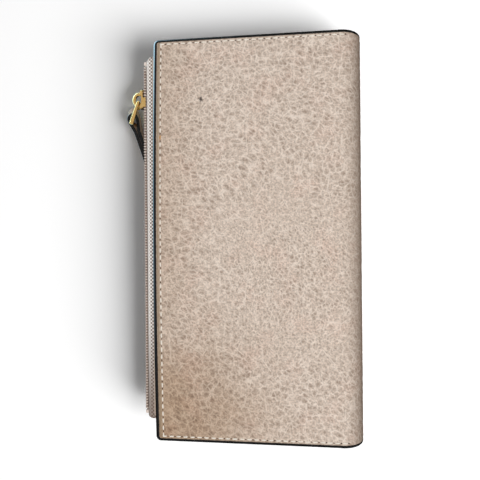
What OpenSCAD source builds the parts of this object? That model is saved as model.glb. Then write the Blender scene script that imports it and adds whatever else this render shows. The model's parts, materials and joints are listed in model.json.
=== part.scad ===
// Long wallet of two leather covers joined by a rolled spine, with a zipped coin pocket
// standing between them like a page. It lies closed on its back cover, front cover up.
// X runs towards the spine, Y along it and Z up. The origin is the middle of the face
// that the wallet lies on.

/* [Wallet] */
// Length along the spine, edge paint included
wallet_len = 184; // [160:1:210]
// Width of the covers from the painted open edge to the outside of the spine
wallet_w = 95.5; // [88:0.5:110]
// Thickness of the closed wallet
wallet_t = 20; // [19.6:0.2:26]
// Radius of the cover corners at the open edge
corner_r = 1; // [1:0.1:6]
// How far the open edge bows out half way along
edge_bow = 1; // [0:0.1:2]
// Gap between a cover's inner layers and the spine, where the leather folds
fold_gap = 0.6; // [0.4:0.1:0.9]

/* [Cover layers] */
// Thickness of the outer leather
leather_t = 1.3; // [0.8:0.1:1.5]
// Thickness of the stiffening board
board_t = 0.6; // [0.3:0.1:0.8]
// Thickness of the lining
lining_t = 0.5; // [0.3:0.1:0.6]
// Width of the edge paint along the open edge
paint_open_w = 1.6; // [0.8:0.1:2.5]
// Width of the edge paint along the two ends
paint_end_w = 0.9; // [0.5:0.1:1.5]

/* [Card slots] */
// Thickness of the panel behind the slots
base_t = 0.5; // [0.3:0.1:0.6]
// Thickness of each slot strip
slot_t = 0.7; // [0.4:0.1:0.8]
// Gap left for a card behind each strip
card_gap = 0.2; // [0.1:0.05:0.3]
// Distance of the first slot's mouth from the open edge
first_mouth = 13; // [8:1:20]
// Step from one slot's mouth to the next
slot_step = 12; // [8:1:16]
// Distance of the slots from the ends of the covers
slot_inset = 3.5; // [2:0.5:8]
// Radius of the slot strips' corners
slot_corner_r = 2; // [1:0.5:4]

/* [Zip pocket] */
// Distance of the zip tapes from the covers' end, at the open end of the zip
pocket_low_inset = 7.2; // [4:0.2:20]
// Distance of the zip tapes from the covers' end, at the closed end of the zip
pocket_high_inset = 4.4; // [4:0.2:20]
// How far the zip stands out past the covers' painted edge
zip_reach = 6.4; // [5:0.1:9]
// Thickness of the pocket leather
pocket_leather_t = 0.9; // [0.6:0.1:1]
// Thickness of the pocket lining
pocket_lining_t = 0.4; // [0.3:0.1:0.5]
// Clear height inside the pocket
pocket_h = 2.8; // [2.6:0.1:3]
// How far the pocket leather stops behind the front of the zip
leather_setback = 4.6; // [4:0.1:6]
// Thickness of the strips that close the pocket's ends
gusset_t = 0.8; // [0.5:0.1:1.2]

/* [Zip] */
// Thickness of the woven tape
tape_t = 0.4; // [0.3:0.05:0.5]
// Width of the tape that is sewn into the pocket
tape_w = 12; // [8:0.5:16]
// Outer radius where the tape turns into the mouth
tape_bend_r = 0.9; // [0.7:0.05:1]
// Height of each row of teeth
teeth_h = 1.7; // [1.5:0.05:1.75]
// Gap between the two rows, for the slider's post
teeth_gap = 0.5; // [0.45:0.05:0.8]
// Depth of the teeth in front of the tape
teeth_t = 1.3; // [1:0.05:1.6]
// Distance from one tooth to the next
tooth_pitch = 1.3; // [1.1:0.1:2]
// Length of the metal stops at the ends of the zip
stop_len = 1.7; // [1:0.1:3]
// Distance of the stops from the ends of the tape
stop_inset = 2; // [1:0.1:4]

/* [Slider] */
// Length of the slider
slider_len = 9.1; // [7.5:0.1:10]
// Width of the slider at its shoulders
slider_w = 6.6; // [6:0.1:7]
// Thickness of its outer and inner plates
plate_t = 0.8; // [0.6:0.1:0.9]
// Running clearance round the teeth
slider_clear = 0.1; // [0.08:0.01:0.15]
// Distance from the closed end of the teeth to the slider, as it lies
slider_from_top = 11.5; // [2:0.5:100]
// Outer radius of the bridge that carries the pull
bridge_r = 3.65; // [3.3:0.05:3.8]
// Thickness of the bridge wire
bridge_t = 1.5; // [1.2:0.05:1.7]
// Width of the bridge wire across the slider
bridge_w = 1.6; // [1.2:0.1:2]
// Height of the bridge's straight legs
bridge_leg = 1.4; // [1.2:0.1:2.2]

/* [Pull] */
// Distance from the bridge to the pin of the pull link
link_len = 10; // [9:0.5:12]
// Diameter of the link's near bar
link_bar_d = 1.1; // [0.8:0.05:1.3]
// Diameter of the link's far ends
link_end_d = 2; // [1.6:0.1:2.4]
// Thickness of the link's arm and of the foot that keeps it on the bridge
link_arm_t = 1; // [0.7:0.1:1.2]
// Length of the link's foot under the bridge
link_foot_len = 2.6; // [2:0.1:3]
// Diameter of the pin through the leather tab
pin_d = 1.2; // [0.8:0.1:1.4]
// Diameter of the pin's head under the tab
pin_head_d = 3.6; // [3.2:0.1:4]
// Thickness of the pin's head
pin_head_t = 0.8; // [0.5:0.1:1]
// Direction in which the link lies, from the X axis
link_dir = 251; // [240:1:260]
// Direction in which the tab lies, from the X axis
tab_dir = 289; // [282:1:292]
// Thickness of the leather strap that is folded into the tab
strap_t = 1.6; // [1.2:0.1:1.7]
// Width of the strap between its painted edges
strap_w = 5.2; // [4:0.1:5.3]
// Thickness of the paint on each cut edge of the strap
strap_paint_t = 0.2; // [0.1:0.05:0.25]
// Radius inside the strap's loop
loop_r = 1.2; // [1:0.05:1.4]
// Length of the tab beyond the pin
tab_len = 25; // [18:1:27]
// Height of the pin's head above the surface that the wallet lies on
pin_floor = 0.9; // [0.4:0.1:1.2]

/* [Hidden] */

// Smoothness of the round parts
round_fn = 64;
small_fn = 32;
corner_steps = 6;
bow_steps = 12;
dome_steps = 6;
// Overrun of the cuts
over = 0.5;
// Thickness of the layers that the domed paint is blended through
dome_layer = 0.04;

// Covers
cover_t = leather_t + board_t + lining_t;
spine_r = wallet_t / 2;
spine_x = wallet_w / 2 - spine_r;
cover_end_x = spine_x - fold_gap;
cover_open_x = -wallet_w / 2 + paint_open_w + edge_bow;
cover_half = wallet_len / 2 - paint_end_w;
mid_z = wallet_t / 2;
seat_gap = 0.3;

// Card slots, on the back cover
base_z = cover_t + seat_gap;
slot_end_x = cover_end_x - fold_gap;
slot_half = cover_half - slot_inset;
slot_rise = slot_t + card_gap;

// Spine
spine_in_r = spine_r - leather_t - lining_t;

// Zip pocket, worked out from its middle plane
zip_x = -wallet_w / 2 - zip_reach;
tape_x = zip_x + teeth_t;
pocket_low_y = pocket_low_inset - wallet_len / 2;
pocket_high_y = wallet_len / 2 - pocket_high_inset;
pocket_len = pocket_high_y - pocket_low_y;
lining_in = pocket_h / 2;
tape_in = lining_in + pocket_lining_t;
tape_out = tape_in + tape_t;
pocket_out = tape_out + pocket_leather_t;
leather_x = zip_x + leather_setback;
tape_back_x = tape_x + tape_w;
tape_end_r = stop_inset;
panel_half_cut = gusset_t;
root_x = spine_x + sqrt(pow(spine_in_r, 2) - pow(pocket_out, 2)) - seat_gap;
root_half = lining_in + pocket_lining_t / 2;
root_end_x = spine_x + sqrt(pow(spine_in_r, 2) - pow(root_half, 2)) - seat_gap / 2;

// Teeth, each wider at its tip than at its root, as shares of the pitch
root_share = 0.22;
tip_share = 0.34;
teeth_back = 0.4;
teeth_low_y = pocket_low_y + stop_inset + stop_len + slider_clear;
teeth_high_y = pocket_high_y - stop_inset - stop_len - slider_clear;
teeth_count = floor((teeth_high_y - teeth_low_y) / tooth_pitch) - 1;
teeth_in = teeth_gap / 2;
teeth_out = teeth_in + teeth_h;

// Slider
slider_y = teeth_high_y - slider_from_top - slider_len / 2;
plate_in_x = zip_x - slider_clear;
plate_out_x = plate_in_x - plate_t;
inner_plate_x = tape_x + tape_t + slider_clear;
inner_plate_half = tape_out - tape_bend_r - slider_clear;
flange_in = teeth_out + 1.5 * slider_clear;
flange_out = slider_w / 2 - plate_t * 0.65;
flange_end_x = tape_x - slider_clear;
post_half = teeth_in - slider_clear;
bridge_x = plate_out_x - bridge_leg;

// Pull
pivot_reach = bridge_r - bridge_t - link_bar_d / 2 - slider_clear;
pivot_x = bridge_x + pivot_reach * cos(link_dir);
pivot_y = slider_y + pivot_reach * sin(link_dir);
pin_x = pivot_x + link_len * cos(link_dir);
pin_y = pivot_y + link_len * sin(link_dir);
arm_z = mid_z + bridge_w / 2 + slider_clear;
foot_z = mid_z - bridge_w / 2 - slider_clear - link_arm_t;
strap_low_z = pin_floor + pin_head_t + slider_clear;
strap_full_w = strap_w + 2 * strap_paint_t;
loop_out_r = loop_r + strap_t;
loop_back = 2.5 * loop_r;
throat_u = 4.2 * loop_r;

// Outline of a cover, seen from above. grow_end and grow_open move its ends and its open
// edge outwards, and extra lengthens it towards the spine.
function cover_points(grow_end, grow_open, extra) =
    let (
        half = cover_half + grow_end,
        r = corner_r + grow_end,
        open_x = cover_open_x - grow_open,
        end_x = cover_end_x + extra,
        low_corner = [for (i = [0:corner_steps]) let (a = 270 - 90 * i / corner_steps)
            [open_x + r + r * cos(a), -half + r + r * sin(a)]],
        bow = [for (i = [1:bow_steps - 1]) let (s = 2 * i / bow_steps - 1)
            [open_x - edge_bow * (1 - s * s), s * (half - r)]],
        high_corner = [for (i = [0:corner_steps]) let (a = 180 - 90 * i / corner_steps)
            [open_x + r + r * cos(a), half - r + r * sin(a)]]
    )
    concat([[end_x, -half]], low_corner, bow, high_corner, [[end_x, half]]);

// Box given by its low and high corners
module slab(low, high) {
    translate(low)
        cube(high - low);
}

// Prism whose outline lies in the X-Z plane, run along Y
module along_y(low_y, length) {
    translate([0, low_y + length, 0])
        rotate([90, 0, 0])
            linear_extrude(height = length)
                children();
}

// Prism whose outline lies in the Y-Z plane, run along X
module along_x(low_x, length) {
    translate([low_x, 0, 0])
        rotate([90, 0, 90])
            linear_extrude(height = length)
                children();
}

// The front cover is the back cover turned over
module as_front() {
    translate([0, 0, wallet_t])
        mirror([0, 0, 1])
            children();
}

// The lower half of the zip pocket is the upper half turned over
module as_lower() {
    translate([0, 0, 2 * mid_z])
        mirror([0, 0, 1])
            children();
}

module cover_layer(low_z, thick) {
    translate([0, 0, low_z])
        linear_extrude(height = thick)
            polygon(cover_points(0, 0, 0));
}

// Domed edge paint round the three free sides of a cover
module cover_paint() {
    difference() {
        hull()
            for (i = [0:dome_steps]) {
                a = 180 * i / dome_steps - 90;
                translate([0, 0, (cover_t - dome_layer) / 2 * (1 + sin(a))])
                    linear_extrude(height = dome_layer)
                        polygon(cover_points(paint_end_w * cos(a), paint_open_w * cos(a), 0));
            }
        translate([0, 0, -over])
            linear_extrude(height = cover_t + 2 * over)
                polygon(cover_points(0, 0, over));
    }
}

// Sheet with round corners at its mouth, the side towards the open edge
module mouth_sheet(low_x, low_z, thick) {
    r = slot_corner_r;
    translate([0, 0, low_z])
        linear_extrude(height = thick)
            union() {
                translate([low_x + r, -slot_half])
                    square([slot_end_x - low_x - r, 2 * slot_half]);
                translate([low_x, -slot_half + r])
                    square([slot_end_x - low_x, 2 * (slot_half - r)]);
                for (side = [-1, 1])
                    translate([low_x + r, side * (slot_half - r)])
                        circle(r = r, $fn = small_fn);
            }
}

module card_base() {
    mouth_sheet(cover_open_x + first_mouth - slot_step, base_z, base_t);
}

module card_slot(index) {
    mouth_sheet(
        cover_open_x + first_mouth + slot_step * (index - 1),
        base_z + base_t + card_gap + slot_rise * (index - 1),
        slot_t
    );
}

module back_leather() {
    color("#c9b6a6") cover_layer(0, leather_t);
}

module back_board() {
    color("#8f8577") cover_layer(leather_t, board_t);
}

module back_lining() {
    color("#3b3029") cover_layer(leather_t + board_t, lining_t);
}

module back_edge_paint() {
    color("#1b1e22") cover_paint();
}

module back_card_base() {
    color("#3b3029") card_base();
}

module back_card_slot(index) {
    color("#c4b09f") card_slot(index);
}

module front_leather() {
    color("#cbb9aa") as_front() cover_layer(0, leather_t);
}

module front_board() {
    color("#8f8577") as_front() cover_layer(leather_t, board_t);
}

module front_lining() {
    color("#3b3029") as_front() cover_layer(leather_t + board_t, lining_t);
}

module front_edge_paint() {
    color("#1b1e22") as_front() cover_paint();
}

module front_card_base() {
    color("#3b3029") as_front() card_base();
}

module front_card_slot(index) {
    color("#c4b09f") as_front() card_slot(index);
}

// Half ring between two radii, round the middle of the spine
module spine_ring(inner, outer) {
    translate([spine_x, mid_z])
        difference() {
            circle(r = outer, $fn = round_fn);
            circle(r = inner, $fn = round_fn);
            translate([-outer - over, -outer - over])
                square([outer + over, 2 * (outer + over)]);
        }
}

module spine_leather() {
    color("#bda998") along_y(-cover_half, 2 * cover_half) spine_ring(spine_r - leather_t, spine_r);
}

module spine_lining() {
    color("#3b3029") along_y(-cover_half, 2 * cover_half) spine_ring(spine_in_r, spine_r - leather_t);
}

// Domed paint on the two ends of the spine
module spine_edge_paint() {
    dome_mid = (spine_in_r + spine_r) / 2;
    dome_half = (spine_r - spine_in_r) / 2;
    dome = [for (i = [0:dome_steps]) let (a = 180 * i / dome_steps)
        [dome_mid + dome_half * cos(a), paint_end_w * sin(a)]];
    color("#1b1e22")
        for (side = [0, 1])
            mirror([0, side, 0])
                translate([spine_x, cover_half, mid_z])
                    rotate([-90, 0, 0])
                        rotate([0, 0, -90])
                            rotate_extrude(angle = 180, $fn = round_fn)
                                polygon(dome);
}

// Leather of the pocket's upper wall
module pocket_upper_leather() {
    color("#bba696")
        slab(
            [leather_x, pocket_low_y + panel_half_cut, mid_z + tape_out],
            [root_x, pocket_high_y - panel_half_cut, mid_z + pocket_out]
        );
}

module pocket_lower_leather() {
    color("#bba696") as_lower() pocket_upper_leather();
}

module pocket_upper_lining() {
    color("#4a3d33")
        slab(
            [leather_x, pocket_low_y + panel_half_cut, mid_z + lining_in],
            [root_x, pocket_high_y - panel_half_cut, mid_z + tape_in]
        );
}

module pocket_lower_lining() {
    color("#4a3d33") as_lower() pocket_upper_lining();
}

// Strips between the two linings at the pocket's ends
module pocket_gusset(low_y) {
    slab(
        [leather_x, low_y, mid_z - lining_in],
        [root_x, low_y + gusset_t, mid_z + lining_in]
    );
}

module pocket_top_gusset() {
    color("#4a3d33") pocket_gusset(pocket_high_y - panel_half_cut - gusset_t);
}

module pocket_bottom_gusset() {
    color("#4a3d33") pocket_gusset(pocket_low_y + panel_half_cut);
}

// Strip that closes the pocket at the spine and is glued to the spine's lining
module pocket_root_strip() {
    color("#bba696")
        slab(
            [root_x, pocket_low_y + panel_half_cut, mid_z - root_half],
            [root_end_x, pocket_high_y - panel_half_cut, mid_z + root_half]
        );
}

// Tape from its end: a flat run inside the pocket wall, a bend at the mouth and an upright
// edge that carries the teeth
module tape_section() {
    bend_x = tape_x + tape_bend_r;
    bend_z = mid_z + tape_out - tape_bend_r;
    translate([bend_x, mid_z + tape_in])
        square([tape_back_x - bend_x, tape_t]);
    translate([tape_x, mid_z + teeth_in])
        square([tape_t, bend_z - mid_z - teeth_in]);
    translate([bend_x, bend_z])
        intersection() {
            difference() {
                circle(r = tape_bend_r, $fn = small_fn);
                circle(r = tape_bend_r - tape_t, $fn = small_fn);
            }
            translate([-tape_bend_r, 0])
                square(tape_bend_r);
        }
}

// Tape with its front corners rounded, as it is folded at the ends of the zip
module zip_upper_tape() {
    r = tape_end_r;
    color("#b9aca1")
        difference() {
            along_y(pocket_low_y, pocket_len)
                tape_section();
            for (side = [0, 1])
                translate([tape_x, side ? pocket_low_y : pocket_high_y, mid_z])
                    mirror([0, side, 0])
                        linear_extrude(height = tape_out + over)
                            difference() {
                                translate([-over, -r])
                                    square([r + over, r + over]);
                                translate([r, -r])
                                    circle(r = r, $fn = small_fn);
                            }
        }
}

module zip_lower_tape() {
    color("#b9aca1") as_lower() zip_upper_tape();
}

// One row of teeth: a comb outline whose teeth point down to the middle of the zip
module teeth_row(offset_y) {
    root_half_w = tooth_pitch * root_share;
    tip_half_w = tooth_pitch * tip_share;
    root_z = mid_z + teeth_out - teeth_back;
    tip_z = mid_z + teeth_in;
    back_z = mid_z + teeth_out;
    first_y = teeth_low_y + tip_half_w + offset_y;
    last_y = first_y + tooth_pitch * (teeth_count - 1);
    comb = [for (i = [0:teeth_count - 1]) let (y = first_y + tooth_pitch * i)
        each [
            [y - root_half_w, root_z],
            [y - tip_half_w, tip_z],
            [y + tip_half_w, tip_z],
            [y + root_half_w, root_z]
        ]];
    along_x(zip_x, teeth_t)
        polygon(concat(comb, [
            [last_y + tip_half_w, root_z],
            [last_y + tip_half_w, back_z],
            [first_y - tip_half_w, back_z],
            [first_y - tip_half_w, root_z]
        ]));
}

module zip_upper_teeth() {
    color("#a3917f") teeth_row(tooth_pitch / 2);
}

module zip_lower_teeth() {
    color("#a3917f") as_lower() teeth_row(0);
}

// Stops seated on the front of the tape, one on each row at the closed end
module zip_top_stops() {
    low_y = pocket_high_y - stop_inset - stop_len;
    color("#a3917f")
        for (turned = [0, 1])
            translate([0, 0, turned * 2 * mid_z])
                mirror([0, 0, turned])
                    slab(
                        [zip_x, low_y, mid_z + teeth_in],
                        [tape_x, low_y + stop_len, mid_z + tape_out - tape_bend_r]
                    );
}

module zip_bottom_stop() {
    low_y = pocket_low_y + stop_inset;
    reach = tape_out - tape_bend_r;
    color("#a3917f")
        slab(
            [zip_x, low_y, mid_z - reach],
            [tape_x, low_y + stop_len, mid_z + reach]
        );
}

// Slider: shield-shaped outer plate, flanges round the teeth, a thin post between the two
// rows and an inner plate behind the tape
module slider_body() {
    half = slider_len / 2;
    wide = slider_w / 2;
    shield = [
        [-half, -wide * 0.72], [-half * 0.88, -wide * 0.84], [half * 0.1, -wide * 0.84],
        [half * 0.45, -wide], [half * 0.78, -wide], [half, -wide * 0.6], [half * 0.86, 0],
        [half, wide * 0.6], [half * 0.78, wide], [half * 0.45, wide],
        [half * 0.1, wide * 0.84], [-half * 0.88, wide * 0.84], [-half, wide * 0.72]
    ];
    lug_reach = bridge_leg * 0.8;
    lug_low = bridge_r * 0.52;
    lug_high = bridge_r * 1.18;
    lug_half = bridge_w * 0.75;
    color("#d8b45c")
        translate([0, slider_y, mid_z]) {
            along_x(plate_out_x, plate_t)
                polygon(shield);
            for (side = [0, 1])
                mirror([0, 0, side])
                    slab(
                        [plate_in_x, -half * 0.88, flange_in],
                        [flange_end_x, half * 0.1, flange_out]
                    );
            slab(
                [plate_in_x, half * 0.5, -post_half],
                [inner_plate_x, half * 0.85, post_half]
            );
            slab(
                [inner_plate_x, -half * 0.9, -inner_plate_half],
                [inner_plate_x + plate_t, half * 0.9, inner_plate_half]
            );
            difference() {
                for (side = [0, 1])
                    mirror([0, side, 0])
                        slab(
                            [plate_out_x - lug_reach, lug_low, -lug_half],
                            [plate_out_x, lug_high, lug_half]
                        );
                slider_bridge_solid(over);
            }
        }
}

// Half disc with straight legs, the outline of the bridge or of the hole in it
module bridge_shape(r, leg) {
    intersection() {
        circle(r = r, $fn = round_fn);
        translate([-r, -r])
            square([r, 2 * r]);
    }
    translate([-over, -r])
        square([leg + over, 2 * r]);
}

// D-shaped bridge, drawn about the slider's own middle
module slider_bridge_solid(extra) {
    translate([bridge_x, 0, -bridge_w / 2])
        linear_extrude(height = bridge_w)
            difference() {
                bridge_shape(bridge_r, bridge_leg + extra);
                bridge_shape(bridge_r - bridge_t, bridge_leg + extra + over);
            }
}

module slider_bridge() {
    color("#e0bf6a")
        translate([0, slider_y, mid_z])
            slider_bridge_solid(0);
}

// Flat bar that tapers from its near end to its far end
module link_bar(low_z, length, far_d) {
    translate([0, 0, low_z])
        linear_extrude(height = link_arm_t)
            union() {
                circle(d = link_bar_d, $fn = small_fn);
                translate([length, 0])
                    circle(d = far_d, $fn = small_fn);
                polygon([
                    [0, -link_bar_d / 2], [length, -far_d / 2],
                    [length, far_d / 2], [0, link_bar_d / 2]
                ]);
            }
}

// Link hung on the bridge: an arm over it, a post through it and a foot under it
module pull_link() {
    color("#e0bf6a")
        translate([pivot_x, pivot_y, 0])
            rotate([0, 0, link_dir]) {
                link_bar(arm_z, link_len, link_end_d);
                translate([0, 0, foot_z])
                    cylinder(h = arm_z + link_arm_t - foot_z, d = link_bar_d, $fn = small_fn);
                link_bar(foot_z, link_foot_len, link_bar_d);
            }
}

// Pin that hangs from the link's arm, through the leather loop, with a head under it
module pull_pin() {
    color("#d8b45c")
        translate([pin_x, pin_y, pin_floor]) {
            cylinder(h = arm_z - pin_floor, d = pin_d, $fn = small_fn);
            cylinder(h = pin_head_t, d = pin_head_d, $fn = small_fn);
        }
}

// Folded strap seen from above, its pin at the origin and its tail along +X
module strap_outline() {
    difference() {
        union() {
            translate([-loop_back, 0])
                circle(r = loop_out_r, $fn = round_fn);
            polygon([
                [-loop_back, -loop_out_r], [0, -loop_out_r * 0.96], [throat_u, -strap_t],
                [tab_len, -strap_t], [tab_len, strap_t], [throat_u, strap_t],
                [0, loop_out_r * 0.96], [-loop_back, loop_out_r]
            ]);
        }
        translate([-loop_back, 0])
            circle(r = loop_r, $fn = small_fn);
        polygon([
            [-loop_back, -loop_r], [pin_d / 4, -loop_r * 0.95], [throat_u * 0.6, 0],
            [pin_d / 4, loop_r * 0.95], [-loop_back, loop_r]
        ]);
    }
}

module at_pin(low_z) {
    translate([pin_x, pin_y, low_z])
        rotate([0, 0, tab_dir])
            children();
}

module pull_tab() {
    color("#b39c88")
        at_pin(strap_low_z + strap_paint_t)
            linear_extrude(height = strap_w)
                strap_outline();
}

// Paint on the strap's two cut edges
module pull_tab_edge_paint() {
    color("#1b1e22")
        for (low_z = [strap_low_z, strap_low_z + strap_full_w - strap_paint_t])
            at_pin(low_z)
                linear_extrude(height = strap_paint_t)
                    strap_outline();
}

back_leather();
back_board();
back_lining();
back_edge_paint();
back_card_base();
back_card_slot(1);  // back_card_slot_1
back_card_slot(2);  // back_card_slot_2
back_card_slot(3);  // back_card_slot_3
spine_leather();
spine_lining();
spine_edge_paint();
pocket_upper_leather();
pocket_lower_leather();
pocket_upper_lining();
pocket_lower_lining();
pocket_top_gusset();
pocket_bottom_gusset();
pocket_root_strip();
zip_upper_tape();
zip_lower_tape();
zip_upper_teeth();
zip_lower_teeth();
zip_top_stops();
zip_bottom_stop();
slider_body();
slider_bridge();
pull_link();
pull_pin();
pull_tab();
pull_tab_edge_paint();
front_leather();
front_board();
front_lining();
front_edge_paint();
front_card_base();
front_card_slot(1);  // front_card_slot_1
front_card_slot(2);  // front_card_slot_2
front_card_slot(3);  // front_card_slot_3
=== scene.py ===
# %% [markdown]
# # A long leather wallet, closed, seen from above
# The wallet lies on its back cover. Two stiff covers are joined by a rolled leather spine,
# and a zipped coin pocket stands between them like a page. The solids already give every
# size, so this lesson only adds what the eye sees: grain, thread, paint, weave and metal.
# Everything is in metres, in the solids' own frame: X runs to the spine, Y along it, Z up.

# %% Load the solids
import json
import math

import bmesh
import bpy
import numpy as np
from mathutils import Matrix, Vector


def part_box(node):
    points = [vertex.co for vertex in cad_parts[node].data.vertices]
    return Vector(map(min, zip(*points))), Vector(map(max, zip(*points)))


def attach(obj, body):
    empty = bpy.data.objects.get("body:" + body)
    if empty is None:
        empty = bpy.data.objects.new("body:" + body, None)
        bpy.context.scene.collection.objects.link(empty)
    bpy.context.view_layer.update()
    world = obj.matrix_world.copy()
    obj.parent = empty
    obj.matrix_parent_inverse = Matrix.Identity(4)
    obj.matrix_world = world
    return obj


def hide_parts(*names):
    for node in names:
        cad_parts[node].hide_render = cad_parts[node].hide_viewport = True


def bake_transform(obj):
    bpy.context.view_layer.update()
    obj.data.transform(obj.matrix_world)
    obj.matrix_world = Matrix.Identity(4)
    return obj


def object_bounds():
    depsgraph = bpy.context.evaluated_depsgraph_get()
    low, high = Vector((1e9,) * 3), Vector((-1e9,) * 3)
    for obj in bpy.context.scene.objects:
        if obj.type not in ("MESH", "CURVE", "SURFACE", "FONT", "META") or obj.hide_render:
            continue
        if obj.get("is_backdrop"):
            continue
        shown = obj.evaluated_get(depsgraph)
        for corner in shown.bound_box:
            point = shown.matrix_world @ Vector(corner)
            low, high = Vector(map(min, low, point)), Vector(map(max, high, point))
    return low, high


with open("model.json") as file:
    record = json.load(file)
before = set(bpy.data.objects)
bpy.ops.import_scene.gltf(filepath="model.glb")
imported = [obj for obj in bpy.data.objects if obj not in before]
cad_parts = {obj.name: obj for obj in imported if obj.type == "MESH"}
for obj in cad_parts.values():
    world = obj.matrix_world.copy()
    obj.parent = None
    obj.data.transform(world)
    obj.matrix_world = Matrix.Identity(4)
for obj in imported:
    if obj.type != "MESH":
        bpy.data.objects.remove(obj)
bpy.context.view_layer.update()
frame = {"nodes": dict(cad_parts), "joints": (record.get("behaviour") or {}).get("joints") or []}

# %% [markdown]
# ## Sizes
# Lengths are easier to read in millimetres, so the lesson thinks in millimetres and turns
# its points to metres at the last moment. Sizes that the solids hold are measured on them,
# so the scene follows when the solids change. Only what the solids leave out is typed.

# %% Measure the solids
MM = 0.001


def span(node):
    """Lowest and highest corner of a solid, in millimetres."""
    low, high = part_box(node)
    return Vector(low) / MM, Vector(high) / MM


leather_low, leather_high = span("back_leather")
paint_low, paint_high = span("back_edge_paint")
spine_low, spine_high = span("spine_leather")
WALLET_T = spine_high.z
MID_Z = WALLET_T / 2
SPINE_R = WALLET_T / 2
SPINE_X = spine_low.x
LEATHER_T = leather_high.z
COVER_T = paint_high.z
COVER_HALF = leather_high.y
# The paint is laid on a little thicker at the two ends than the solids have it
PAINT_SWELL = 0.4
PAINT_END = paint_high.y - leather_high.y + PAINT_SWELL
PAINT_OPEN = leather_low.x - paint_low.x
EDGE_BOW = 1.0
CORNER_R = 1.0
OPEN_X = leather_low.x + EDGE_BOW
print("covers in mm:", round(SPINE_X + SPINE_R - paint_low.x, 2), "by", round(2 * paint_high.y, 2))

# %% [markdown]
# ## Small helpers
# A few helpers serve every finish and every piece. One turns a written colour into the
# linear values that the renderer works with, one adds a node with its settings and links,
# one lays colours over each other as a finisher lays coats, and one turns a list of points
# and faces into an object. Trees could be drawn by hand instead, but a script can be run
# again and read from top to bottom.

# %% Colours and nodes
MIX_A, MIX_B, MIX_OUT = 6, 7, 2
EASED = {"interpolation_type": "SMOOTHSTEP"}


def linear(code):
    """Linear RGBA of an sRGB hex colour such as "c9b6a6"."""
    shares = [int(code[i:i + 2], 16) / 255 for i in (0, 2, 4)]
    return [s / 12.92 if s <= 0.04045 else ((s + 0.055) / 1.055) ** 2.4 for s in shares] + [1.0]


def add(tree, kind, inputs=(), **settings):
    """Adds a node with its settings. Its inputs are given in order, or by number or name."""
    made = tree.nodes.new(kind)
    for name, value in settings.items():
        setattr(made, name, value)
    for key, value in inputs.items() if isinstance(inputs, dict) else enumerate(inputs):
        if isinstance(value, bpy.types.NodeSocket):
            tree.links.new(value, made.inputs[key])
        else:
            made.inputs[key].default_value = value
    return made


def layered(tree, colour, *layers):
    """A colour with others laid over it in turn, each by its share."""
    for share, over in layers:
        colour = add(tree, "ShaderNodeMix", {0: share, MIX_A: colour, MIX_B: over},
                     data_type="RGBA").outputs[MIX_OUT]
    return colour


def new_material(name, **values):
    """A material with a plain shader, whose own sockets take the values given."""
    made = bpy.data.materials.new(name)
    made.use_nodes = True
    shader = made.node_tree.nodes["Principled BSDF"]
    for key, value in values.items():
        shader.inputs[key.replace("_", " ").title().replace("Ior", "IOR")].default_value = value
    return made, made.node_tree, shader


def dress(tree, shader, colour, height, strength, depth):
    """Gives a shader its colour and a relief of the given depth in millimetres."""
    tree.links.new(colour, shader.inputs["Base Color"])
    relief = add(tree, "ShaderNodeBump",
                 {"Height": height, "Strength": strength, "Distance": depth * MM})
    tree.links.new(relief.outputs[0], shader.inputs["Normal"])


# %% Meshes
WELD_MM = 0.0005


def make_object(name, points, faces, material, smooth=True):
    """An object at the origin from points in millimetres and faces of point numbers."""
    mesh = bpy.data.meshes.new(name)
    mesh.from_pydata([tuple(c * MM for c in p) for p in points], [], faces)
    mesh.materials.append(material)
    mesh.polygons.foreach_set("use_smooth", [smooth] * len(mesh.polygons))
    made = bpy.data.objects.new(name, mesh)
    bpy.context.scene.collection.objects.link(made)
    return made


def point_outwards(made):
    """Joins doubled points and turns every face of a closed mesh outwards."""
    cage = bmesh.new()
    cage.from_mesh(made.data)
    bmesh.ops.remove_doubles(cage, verts=cage.verts, dist=WELD_MM * MM)
    bmesh.ops.recalc_face_normals(cage, faces=cage.faces)
    cage.to_mesh(made.data)
    cage.free()


def bake_modifiers(made):
    """Turns an object with its modifiers into a plain mesh, and drops the modifiers."""
    graph = bpy.context.evaluated_depsgraph_get()
    final = bpy.data.meshes.new_from_object(made.evaluated_get(graph))
    made.modifiers.clear()
    made.data = final
    return made


# %% Sheets and tubes
SHEET_SHARP = 50
LEAST_R = 0.01


def grid_faces(rows, columns):
    """Faces that close the gap between two equal grids of points, one after the other."""
    half = rows * columns
    faces = []
    for r in range(rows - 1):
        for c in range(columns - 1):
            a = r * columns + c
            faces.append((a, a + 1, a + columns + 1, a + columns))
            faces.append((half + a, half + a + columns, half + a + columns + 1, half + a + 1))
    for r in range(rows - 1):
        for c in (0, columns - 1):
            a = r * columns + c
            faces.append((a, a + columns, half + a + columns, half + a))
    for c in range(columns - 1):
        for r in (0, rows - 1):
            a = r * columns + c
            faces.append((a, a + 1, half + a + 1, half + a))
    return faces


def sheet(name, points, rows, columns, material):
    """A closed sheet from the grid of its outer face, then the grid of its inner face."""
    made = make_object(name, points, grid_faces(rows, columns), material)
    point_outwards(made)
    made.data.set_sharp_from_angle(angle=math.radians(SHEET_SHARP))
    return made


def tube(name, sections, material, sharp=40):
    """A closed skin through cross-sections that all have the same number of points."""
    count = len(sections[0])
    last = (len(sections) - 1) * count
    faces = []
    for first in range(0, last, count):
        for j in range(count):
            k = (j + 1) % count
            faces.append((first + j, first + k, first + count + k, first + count + j))
    faces.append(tuple(range(count)))
    faces.append(tuple(last + j for j in reversed(range(count))))
    made = make_object(name, [p for section in sections for p in section], faces, material)
    point_outwards(made)
    made.data.set_sharp_from_angle(angle=math.radians(sharp))
    return made


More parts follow.
